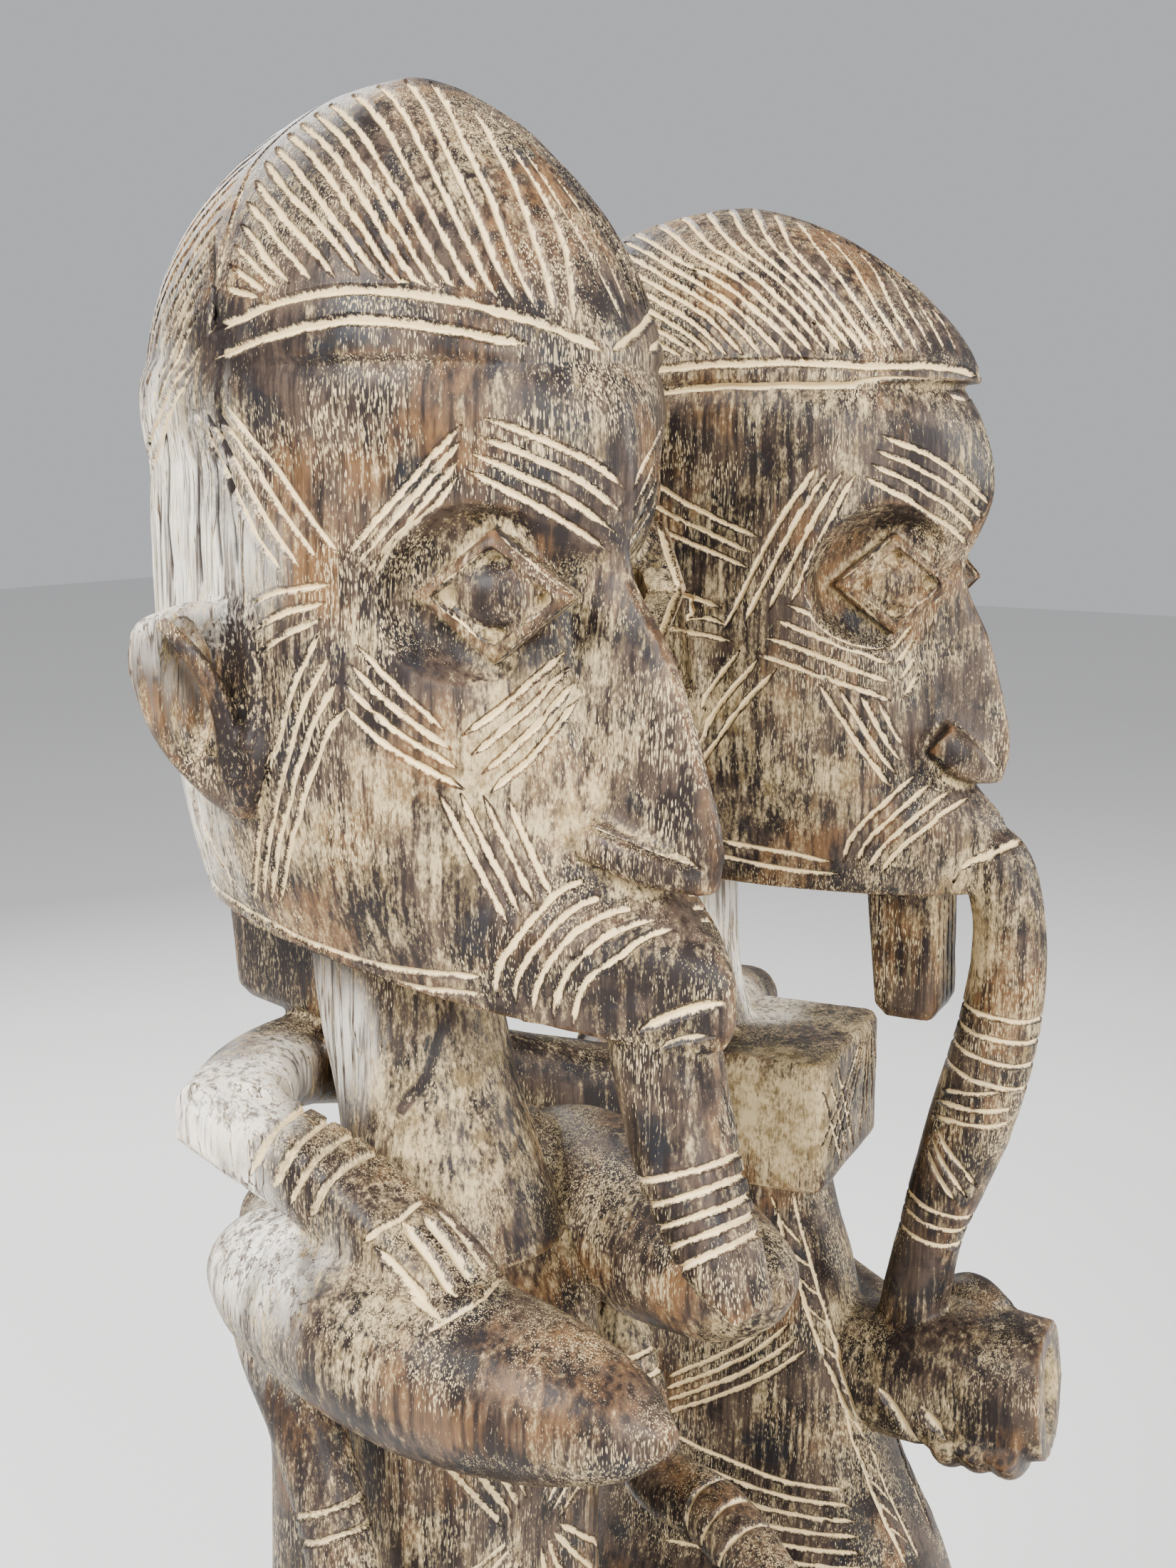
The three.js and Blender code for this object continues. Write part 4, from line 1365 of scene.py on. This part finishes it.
def line_cutting_tree():
    """Cuts a V-shaped groove along every line, laid on the surface with tapered ends"""
    tree = GeometryTree("cut carved lines", [
        ("Lines", "Object"),
        ("Width", "Float", 0.0023),
        ("Depth", "Float", 0.0012),
        ("Step", "Float", 0.0032),
        ("Taper", "Float", 0.004),
        ("Wander", "Float", 0.00025),
    ])
    given = tree.inputs
    body = given["Geometry"]
    curve = tree.node("GeometryNodeMeshToCurve", Mesh=tree.object("Lines"))
    curve = tree.node("GeometryNodeCurveSplineType", settings={"spline_type": "CATMULL_ROM"}, Curve=curve)
    curve = tree.node("GeometryNodeResampleCurve", settings={"mode": "LENGTH"}, Curve=curve,
                      Length=given["Step"])
    place = tree.node("GeometryNodeInputPosition")
    noise = tree.node("ShaderNodeTexNoise", "Color", Vector=place, Scale=130.0, Detail=1.0)
    wander = tree.scaled(tree.added(noise, (-0.5, -0.5, -0.5)), tree.times(given["Wander"], 4.0))
    curve = tree.node("GeometryNodeSetPosition", Geometry=curve, Offset=wander)
    on_skin = tree.nearest("Position", body, "FACES")
    curve = tree.node("GeometryNodeSetPosition", Geometry=curve, Position=on_skin)
    normal = tree.sampled(body, tree.node("GeometryNodeInputNormal"), "FLOAT_VECTOR")
    curve = tree.node("GeometryNodeSetCurveNormal", settings={"mode": "FREE"}, Curve=curve, Normal=normal)

    # Open lines taper to 0.3 of their width at both ends, and the width varies a little along every line
    along = tree.node("GeometryNodeSplineParameter", "Length")
    length = tree.node("GeometryNodeSplineLength", "Length")
    to_end = tree.math("MINIMUM", along, tree.math("SUBTRACT", length, along))
    share = tree.math("MINIMUM", tree.math("DIVIDE", to_end, given["Taper"]), 1.0)
    share = tree.plus(0.3, tree.times(0.7, tree.math("POWER", share, 0.6)))
    open_end = tree.named("taper")
    share = tree.plus(tree.times(share, open_end), tree.math("SUBTRACT", 1.0, open_end))
    uneven = tree.node("ShaderNodeTexNoise", "Fac", Vector=place, Scale=210.0)
    uneven = tree.math("MULTIPLY_ADD", uneven, 0.5, 0.75)
    radius = tree.times(tree.times(share, tree.named("line_width")), uneven)
    curve = tree.node("GeometryNodeSetCurveRadius", Curve=curve, Radius=radius)

    blade = tree.group.nodes.new("GeometryNodeCurvePrimitiveQuadrilateral")
    blade.mode = "KITE"
    sockets = {socket.name: socket for socket in blade.inputs}
    for size, source in (("Width", "Width"), ("Bottom Height", "Depth"), ("Top Height", "Depth")):
        tree.group.links.new(given[source], sockets[size])
    cutter = tree.node("GeometryNodeCurveToMesh", Curve=curve, Profile_Curve=blade.outputs[0],
                       Fill_Caps=True, Scale=radius)
    difference = {"operation": "DIFFERENCE", "solver": "MANIFOLD"}
    return tree.finish(tree.node("GeometryNodeMeshBoolean", settings=difference, i0=body, i1=cutter))


def surface_marking_tree():
    """Stores how deep in a groove, how hollow and how cracked each point is, and which edges stay crisp"""
    tree = GeometryTree("mark the surface", [
        ("Uncut Block", "Object"),
        ("Fine Block", "Object"),
        ("Crack Lines", "Object"),
        ("Crack Reach", "Float", 0.0014),
        ("Groove Depth", "Float", 0.0012),
        ("Crisp Angle", "Float", 32 * DEG),
    ])
    given = tree.inputs
    body = given["Geometry"]
    depth = tree.nearest("Distance", tree.object("Uncut Block"), "FACES")
    groove = tree.math("MINIMUM", tree.math("DIVIDE", depth, given["Groove Depth"]), 1.0)
    hollow = tree.sampled(tree.object("Fine Block"), tree.named("hollow"), "FLOAT")
    apart = tree.nearest("Distance", tree.object("Crack Lines"), "EDGES")
    crack = tree.times(groove, tree.compared("LESS_THAN", apart, given["Crack Reach"]))
    at_points = {"data_type": "FLOAT", "domain": "POINT"}
    for name, value in (("groove", groove), ("hollow", hollow), ("crack", crack)):
        body = tree.node("GeometryNodeStoreNamedAttribute", settings=at_points, Geometry=body, Name=name,
                         Value=value)
    body = tree.node("GeometryNodeSetShadeSmooth", settings={"domain": "FACE"}, Geometry=body,
                     Shade_Smooth=True)
    crisp = tree.compared("GREATER_THAN", tree.node("GeometryNodeInputMeshEdgeAngle"), given["Crisp Angle"])
    body = tree.node("GeometryNodeSetShadeSmooth", settings={"domain": "EDGE"}, Geometry=body,
                     Selection=crisp, Shade_Smooth=False)
    return tree.finish(body)


def use_tree(target, group, **values):
    """Adds a modifier with the tree and sets its inputs by their sockets' identifiers"""
    modifier = target.modifiers.new(group.name, "NODES")
    modifier.node_group = group
    for item in group.interface.items_tree:
        key = item.name.replace(" ", "_").lower()
        if item.in_out == "INPUT" and key in values:
            modifier[item.identifier] = values[key]
    return modifier


# Wood

# Centre and radius in millimetres, and strength, of each area worn pale
WORN_PATCHES = [
    ((-113, 96, 560), 46, 1.0),
    ((-117, 66, 585), 34, 1.0),
    ((-112, 72, 511), 26, 0.9),
    ((-124, 39, 572), 18, 0.6),
    ((-134, 43, 458), 22, 0.9),
    ((-138, 38, 430), 20, 0.9),
    ((-98, 40, 462), 18, 0.7),
    ((75, 50, 455), 34, 0.8),
    ((-122, 26, 412), 24, 0.8),
    ((92, 34, 424), 24, 0.8),
]

# The same for darker areas. Painted shade in the trough of the woman's right ear, under her plait and below
# her nose wing.
# Along the crease of her hair, partly painted shade and partly stain. Darker wood on an eyeball of each
# figure and a spot on the chest block, and darker areas on the embracing forearm and on her arm, breast and
# cheek
SHADE_AND_DARK_PATCHES = [
    # Painted shade in the trough of the woman's right ear, behind its raised inner edge
    ((-124, 36, 560), 12, 1.0),
    ((-124, 35, 549), 13, 1.0),
    ((-124, 34, 538), 12, 1.0),
    ((-124, 33, 529), 8, 0.9),
    # Along the crease of her hair: partly painted shade and partly the dark stain of a drying check
    ((-104.7, 47.3, 657), 8, 0.6),
    ((-114, 46.8, 643), 9, 0.6),
    ((-120, 47.9, 630), 9, 0.7),
    ((-122, 47.2, 616), 10, 0.7),
    ((-123, 47.4, 602), 10, 0.7),
    ((-123, 46, 588), 9, 0.5),
    ((-111.5, -20.5, 569), 6, 0.9),
    ((58.3, -28, 561), 6, 0.9),
    # Painted shade on the side of her plait and under it
    ((-83, 74, 473), 28, 1.0),
    ((60, -10, 405), 4, 1.0),
    ((-129, 12, 446), 16, 0.6),
    ((-139, 20, 396), 22, 0.6),
    ((-135, 18, 368), 26, 0.5),
    ((-128, -52, 402), 22, 0.4),
    ((-108, 3, 362), 24, 0.4),
    # Painted shade below her nose wing
    ((-98, -55, 514), 11, 0.7),
    ((-113, 6, 575), 12, 0.5),
]

# The same for areas where more clay clings, or less where the strength is below 0
CLAY_PATCHES = [
    ((-103, -25, 535), 24, 0.8),
    ((37, -6, 516), 30, 0.6),
    ((27, 19, 571), 24, 0.3),
    ((-108, -15, 608), 38, -0.8),
    ((47, -3, 405), 24, 1.6),
    ((-121, 4, 515), 24, 0.6),
    ((-95, -32, 598), 16, 0.6),
    ((-88, 6, 444), 24, 0.6),
    ((-125, -14, 433), 20, 0.35),
    ((-132, -50, 415), 36, -0.4),
    ((52, 12, 313), 40, 0.4),
    ((-93, -44, 547), 18, 0.2),
    ((80, -56, 470), 22, 0.3),
    ((96, -5, 405), 32, 0.2),
    ((86, -35, 460), 20, 0.5),
    ((92, -69, 322), 15, 1.5),
    ((0, 10, 100), 290, -0.45),
    ((0, 110, 300), 120, -0.3),
]


class ShaderWriter(NodeWriter):
    """Short way to write a shader node group or a material's nodes"""

    def ramp(self, value, low, high):
        """0 at low and 1 at high, smooth between them. It falls where low is the larger"""
        return self.node("ShaderNodeMapRange", settings={"interpolation_type": "SMOOTHSTEP"}, Value=value,
                         From_Min=low, From_Max=high)

    def swing(self, value, reach):
        """A value between 0 and 1 spread evenly from -reach to reach"""
        return self.math("MULTIPLY_ADD", value, 2 * reach, -reach)

    def mix(self, factor, a, b):
        return self.node("ShaderNodeMix", 2, settings={"data_type": "RGBA"}, i0=factor, i6=a, i7=b)

    def noise(self, vector, scale, detail=3.0, roughness=0.55):
        return self.node("ShaderNodeTexNoise", "Fac", Vector=vector, Scale=scale, Detail=detail,
                         Roughness=roughness)

    def upright(self, vector, share):
        """Coordinates that draw a texture out along the grain, which runs up the block"""
        return self.node("ShaderNodeMapping", Vector=vector, Scale=(1.0, 1.0, share))

    def use(self, group, **sockets):
        """Adds a node for the group and gives all its outputs"""
        return self.node("ShaderNodeGroup", settings={"node_tree": group}, **sockets).node.outputs


def shader_group(name, inputs):
    """Writer for an empty shader node group, and the group's inputs"""
    s = ShaderWriter(bpy.data.node_groups.new(name, "ShaderNodeTree"))
    for given in inputs:
        s.socket(*given)
    return s, s.group.nodes.new("NodeGroupInput").outputs


def closed_group(s, **results):
    """The group, once its results are joined to outputs of the same names"""
    for label in results:
        s.socket(label, "Float", way="OUTPUT")
    output = s.group.nodes.new("NodeGroupOutput")
    for label, value in results.items():
        s.group.links.new(value, output.inputs[label])
    return s.group


def wood_grain_group():
    """Upright grain: streaks, short pores that hold clay, blotches, grit and a height for bump"""
    s, given = shader_group("wood grain", [
        ("Vector", "Vector"), ("Streak Size", "Float", 520.0), ("Pore Size", "Float", 1450.0),
    ])
    vector = given["Vector"]
    streaks = s.noise(s.upright(vector, 0.07), given["Streak Size"], 4.0, 0.62)
    crowd = s.noise(vector, 46.0, 4.0, 0.6)
    reach = s.ramp(crowd, 0.34, 0.64)
    filled = s.ramp(s.noise(vector, 700.0, 2.0), 0.3, 0.65)
    pores = 0.0
    for stretch, finer, share in ((0.16, 1.7, 0.40), (0.09, 1.05, 0.25)):
        size = s.times(given["Pore Size"], finer)
        cells = s.node("ShaderNodeTexVoronoi", "Distance", Vector=s.upright(vector, stretch), Scale=size)
        layer = s.ramp(s.math("SUBTRACT", s.math("MULTIPLY_ADD", reach, share, 0.02), cells), -0.05, 0.05)
        pores = s.math("MAXIMUM", s.times(layer, filled), pores)
    hairs = s.ramp(s.noise(s.upright(vector, 0.035), 1500.0, 2.0, 0.6), 0.57, 0.68)
    hairs = s.times(hairs, s.ramp(crowd, 0.42, 0.66))
    pores = s.math("MAXIMUM", s.times(hairs, 0.7), pores)
    return closed_group(
        s, Streaks=streaks, Pores=pores,
        Blotches=s.noise(vector, 62.0, 5.0, 0.62),
        Grit=s.noise(s.upright(vector, 0.45), 1300.0, 2.0, 0.7),
        Height=s.math("SUBTRACT", s.times(streaks, 0.7), s.times(pores, 0.35)),
    )


def area_group():
    """Mask of an area about a centre, with a ragged edge"""
    s, given = shader_group("area", [
        ("Vector", "Vector"), ("Ragged", "Float", 0.0), ("Centre", "Vector"), ("Radius", "Float", 0.04),
    ])
    apart = s.node("ShaderNodeVectorMath", "Value", settings={"operation": "DISTANCE"},
                   i0=given["Vector"], i1=given["Centre"])
    share = s.plus(s.math("DIVIDE", apart, given["Radius"]), given["Ragged"])
    return closed_group(s, Mask=s.ramp(share, 1.2, 0.5))


def clay_group():
    """Mask of pale clay: full in carved lines, gritty in hollows, a broken film elsewhere"""
    s, given = shader_group("clay in hollows", [
        ("Vector", "Vector"), ("Groove", "Float", 0.0), ("Hollow", "Float", 0.0), ("Grit", "Float", 0.5),
        ("Streaks", "Float", 0.5), ("Film", "Float", 0.15),
    ])
    vector, groove = given["Vector"], given["Groove"]
    rough = s.swing(given["Grit"], 0.8)
    lines = s.plus(groove, s.swing(s.noise(vector, 240.0, 3.0, 0.6), 0.5))
    lines = s.times(s.ramp(s.plus(lines, s.times(rough, 0.6)), 0.3, 0.7), 0.95)
    patchy = s.noise(vector, 70.0, 4.0, 0.6)
    hollows = s.ramp(s.plus(s.plus(given["Hollow"], s.swing(patchy, 0.8)), rough), 0.3, 1.0)
    film = s.plus(s.swing(s.noise(s.upright(vector, 0.75), 27.0, 5.0, 0.6), 1.5), given["Film"])
    film = s.plus(film, s.swing(given["Streaks"], 2.1))
    film = s.plus(film, s.swing(patchy, 1.5))
    film = s.times(s.ramp(s.plus(film, s.times(rough, 1.5)), 0.0, 1.7), 0.78)
    film = s.times(film, s.math("SUBTRACT", 1.0, s.ramp(groove, 0.02, 0.2)))
    return closed_group(s, Mask=s.math("MAXIMUM", lines, s.math("MAXIMUM", s.times(hollows, 0.85), film)))


def patina(s, place, grain, hollow, tints):
    """Dark and brown wood, golden in warm areas and on rubbed edges, with smoke spots and dark streaks"""
    streaks = grain["Streaks"]
    tone = s.plus(s.times(grain["Blotches"], 0.8), s.times(streaks, 0.3))
    found = s.mix(s.ramp(tone, 0.47, 0.62), tints["dark_wood"], tints["brown_wood"])
    warm = s.ramp(s.plus(s.noise(place, 33.0, 4.0), s.times(streaks, 0.3)), 0.66, 0.84)
    edge = s.ramp(s.times(hollow, -1.0), 0.2, 0.9)
    bared = s.math("MAXIMUM", s.times(warm, 0.7), s.times(edge, 0.8))
    found = s.mix(bared, found, tints["golden_wood"])
    smoke = s.ramp(s.plus(s.noise(place, 85.0, 4.0), s.times(streaks, 0.2)), 0.66, 0.76)
    found = s.mix(s.times(smoke, 0.75), found, tints["smoke"])
    return s.mix(s.times(s.ramp(streaks, 0.52, 0.36), 0.6), found, tints["dark_wood"])


def bleached_wood(s, place, grain, tints):
    """Grey streaked wood with fine upright checks"""
    found = s.mix(s.ramp(grain["Streaks"], 0.36, 0.56), tints["worn_dark"], tints["worn_grey"])
    checks = s.noise(s.upright(place, 0.04), 230.0, 3.0)
    checks = s.ramp(s.math("ABSOLUTE", s.math("SUBTRACT", checks, 0.5)), 0.0, 0.022)
    return s.mix(checks, tints["brown_wood"], found)


def earth(s, place, grain, groove, tints):
    """Clay, clean in the grooves and in dusty spots and stained elsewhere"""
    dusty = s.ramp(s.plus(s.noise(place, 170.0, 4.0), s.times(grain["Grit"], 0.5)), 0.58, 0.86)
    clean = s.math("MAXIMUM", s.times(dusty, 0.6), s.ramp(groove, 0.03, 0.3))
    return s.mix(clean, tints["stained_clay"], tints["clay"])


def wood_material(finish):
    """Patina, over it bleached areas, clay in pores and grooves, darker areas that are partly painted
    shade, and cracks
    """
    material = bpy.data.materials.new("patinated wood")
    material.use_nodes = True
    material.node_tree.nodes.clear()
    s = ShaderWriter(material.node_tree)
    tints = {key: (*getattr(finish, key), 1.0) for key in WoodFinish.__annotations__}
    place = s.node("ShaderNodeTexCoord", "Object")
    groove, hollow, crack = (
        s.node("ShaderNodeAttribute", "Fac", settings={"attribute_name": name})
        for name in ("groove", "hollow", "crack")
    )
    grain = s.use(wood_grain_group(), Vector=place)
    streaks, grit = grain["Streaks"], grain["Grit"]
    broad = s.noise(s.upright(place, 0.3), 60.0, 3.0, 0.6)
    ragged = s.plus(s.swing(broad, 0.8), s.swing(streaks, 0.5))
    area = area_group()

    def areas(patches):
        """Sum of the patches' masks, each times its strength"""
        total = 0.0
        for centre, radius, strength in patches:
            centre = [value * MM for value in centre]
            patch = s.use(area, Vector=place, Ragged=ragged, Centre=centre, Radius=radius * MM)
            total = s.math("MULTIPLY_ADD", patch["Mask"], strength, total)
        return total

    worn = s.node("ShaderNodeClamp", Value=areas(WORN_PATCHES))
    bleached = bleached_wood(s, place, grain, tints)
    colour = s.mix(s.times(worn, 0.85), patina(s, place, grain, hollow, tints), bleached)
    colour = s.mix(s.times(grain["Pores"], 0.62), colour, tints["clay"])
    clay = s.use(clay_group(), Vector=place, Groove=groove, Hollow=hollow, Grit=grit, Streaks=streaks,
                 Film=s.plus(areas(CLAY_PATCHES), 0.05))["Mask"]
    colour = s.mix(clay, colour, earth(s, place, grain, groove, tints))
    # Painted shade in the woman's ear trough, along the crease of her hair, under her plait and below her
    # nose wing, in one mask with darker spots of the wood itself
    shade_and_dark_spots = s.node("ShaderNodeClamp", Value=s.times(areas(SHADE_AND_DARK_PATCHES), s.ramp(grit, 0.75, 0.35)))
    for dark in (shade_and_dark_spots, s.ramp(crack, 0.05, 0.4)):
        colour = s.mix(dark, colour, tints["dark_wood"])

    roughness = s.plus(0.36, s.times(s.math("MAXIMUM", clay, worn), 0.34))
    roughness = s.plus(roughness, s.times(streaks, 0.14))
    bump = s.node("ShaderNodeBump", Height=grain["Height"], Distance=0.0004, Strength=0.6)
    shader = s.node("ShaderNodeBsdfPrincipled", Base_Color=colour, Roughness=roughness, Normal=bump,
                    Specular_IOR_Level=0.15)
    s.group.links.new(shader, s.group.nodes.new("ShaderNodeOutputMaterial").inputs[0])
    return material


def plain_material(name, colour, roughness):
    """Material of one colour"""
    material = bpy.data.materials.new(name)
    material.use_nodes = True
    shader = material.node_tree.nodes["Principled BSDF"]
    shader.inputs["Base Color"].default_value = (*colour, 1.0)
    shader.inputs["Roughness"].default_value = roughness
    return material


# Stage: half the floor's width, the point the lights face, and each light's place, share of power and width
FLOOR_HALF = 6.0
LIGHT_AIM = (0, 0, 0.5)
LIGHTS = (
    ("left soft light", (-1.3, 0.05, 1.4), 1.1, 0.6),
    ("front soft light", (-0.7, -1.35, 1.0), 0.8, 0.7),
    ("right soft light", (1.0, -1.2, 0.9), 0.45, 0.7),
    ("back soft light", (0.6, 1.3, 1.2), 0.5, 0.9),
)
SKY_COLOUR = (0.86, 0.88, 0.92, 1.0)
SKY_STRENGTH = 0.6


# Operators, panel and registration

class FIGURE_OT_carve_couple(bpy.types.Operator):
    """Carve the couple, the stool and the base as one block of wood"""

    bl_idname = "figure.carve_couple"
    bl_label = "Carve Couple Figure"

    def execute(self, context):
        sizes = context.scene.figure_sizes
        wood = wood_material(context.scene.wood_finish)
        fine = carved_block(sizes)
        limit = sizes.face_limit // 1
        uncut = thin(copied(fine), limit)
        figure = copied(uncut)
        surface = BVHTree.FromObject(uncut, context.evaluated_depsgraph_get())

        lines, cracks = all_lines(surface)
        cutting = line_cutting_tree()
        for batch in kept_apart(lines):
            cut_away(figure, cutting, batch, sizes.groove_width, sizes.groove_depth, wood)
        for batch in kept_apart(cracks):
            cut_away(figure, cutting, batch, sizes.crack_width, sizes.crack_depth, wood)
        crack_guide = lines_object("cracks", cracks)
        thin(figure, sizes.final_limit)
        use_tree(figure, surface_marking_tree(), uncut_block=uncut, fine_block=fine,
                 crack_lines=crack_guide, groove_depth=sizes.groove_depth, material=wood)
        applied(figure, "couple_carving")
        for item in (fine, uncut, crack_guide):
            remove(item)
        left_over = figure.data.attributes.get("line_width")
        if left_over:
            figure.data.attributes.remove(left_over)
        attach(figure, "root")
        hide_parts("couple_figure")
        figure.data.calc_loop_triangles()
        print("triangles in the figure:", len(figure.data.loop_triangles))
        return {"FINISHED"}


class FIGURE_OT_lay_stage(bpy.types.Operator):
    """Lay the plain floor and set the lights and the camera"""

    bl_idname = "figure.lay_stage"
    bl_label = "Lay Floor, Lights and Camera"

    def execute(self, context):
        stage = context.scene.stage_settings
        mesh = bpy.data.meshes.new("floor")
        corners = [(x * FLOOR_HALF, y * FLOOR_HALF, 0) for x, y in ((-1, -1), (1, -1), (1, 1), (-1, 1))]
        mesh.from_pydata(corners, [], [(0, 1, 2, 3)])
        mesh.materials.append(plain_material("pale floor", stage.floor_colour, 0.7))
        floor = linked("floor", mesh)

        world = bpy.data.worlds.new("soft studio")
        world.use_nodes = True
        sky = world.node_tree.nodes["Background"].inputs
        sky["Color"].default_value = SKY_COLOUR
        sky["Strength"].default_value = SKY_STRENGTH
        context.scene.world = world
        for name, place, power, width in LIGHTS:
            light = bpy.data.lights.new(name, "AREA")
            light.energy = stage.light_power * power
            light.size = width
            lamp = linked(name, light)
            lamp.location = place
            lamp.rotation_euler = (Vector(LIGHT_AIM) - Vector(place)).to_track_quat("-Z", "Y").to_euler()

        camera = linked("photo camera", bpy.data.cameras.new("photo camera"))
        camera.data.lens = stage.lens
        camera.data.sensor_width = 36
        camera.location = stage.camera_place
        camera.rotation_euler = (90 * DEG - stage.camera_pitch, 0, stage.camera_azimuth)
        context.scene.camera = camera
        return {"FINISHED"}


class FIGURE_PT_panel(bpy.types.Panel):
    """Sizes, colours and steps of the couple figure"""

    bl_idname = "FIGURE_PT_panel"
    bl_label = "Couple Figure"
    bl_space_type = "VIEW_3D"
    bl_region_type = "UI"
    bl_category = "Couple Figure"

    def draw(self, context):
        for name in SETTINGS:
            settings = getattr(context.scene, name)
            column = self.layout.column()
            for key in settings.__annotations__:
                column.prop(settings, key)
        self.layout.operator(FIGURE_OT_carve_couple.bl_idname)
        self.layout.operator(FIGURE_OT_lay_stage.bl_idname)


SETTINGS = {"figure_sizes": FigureSizes, "wood_finish": WoodFinish, "stage_settings": StageSettings}
CLASSES = (*SETTINGS.values(), FIGURE_OT_carve_couple, FIGURE_OT_lay_stage, FIGURE_PT_panel)


def register():
    for cls in CLASSES:
        bpy.utils.register_class(cls)
    for name, cls in SETTINGS.items():
        setattr(bpy.types.Scene, name, bpy.props.PointerProperty(type=cls))


def unregister():
    for name in SETTINGS:
        delattr(bpy.types.Scene, name)
    for cls in reversed(CLASSES):
        bpy.utils.unregister_class(cls)


def main():
    register()
    bpy.ops.figure.carve_couple()
    bpy.ops.figure.lay_stage()


if __name__ == "__main__":
    main()
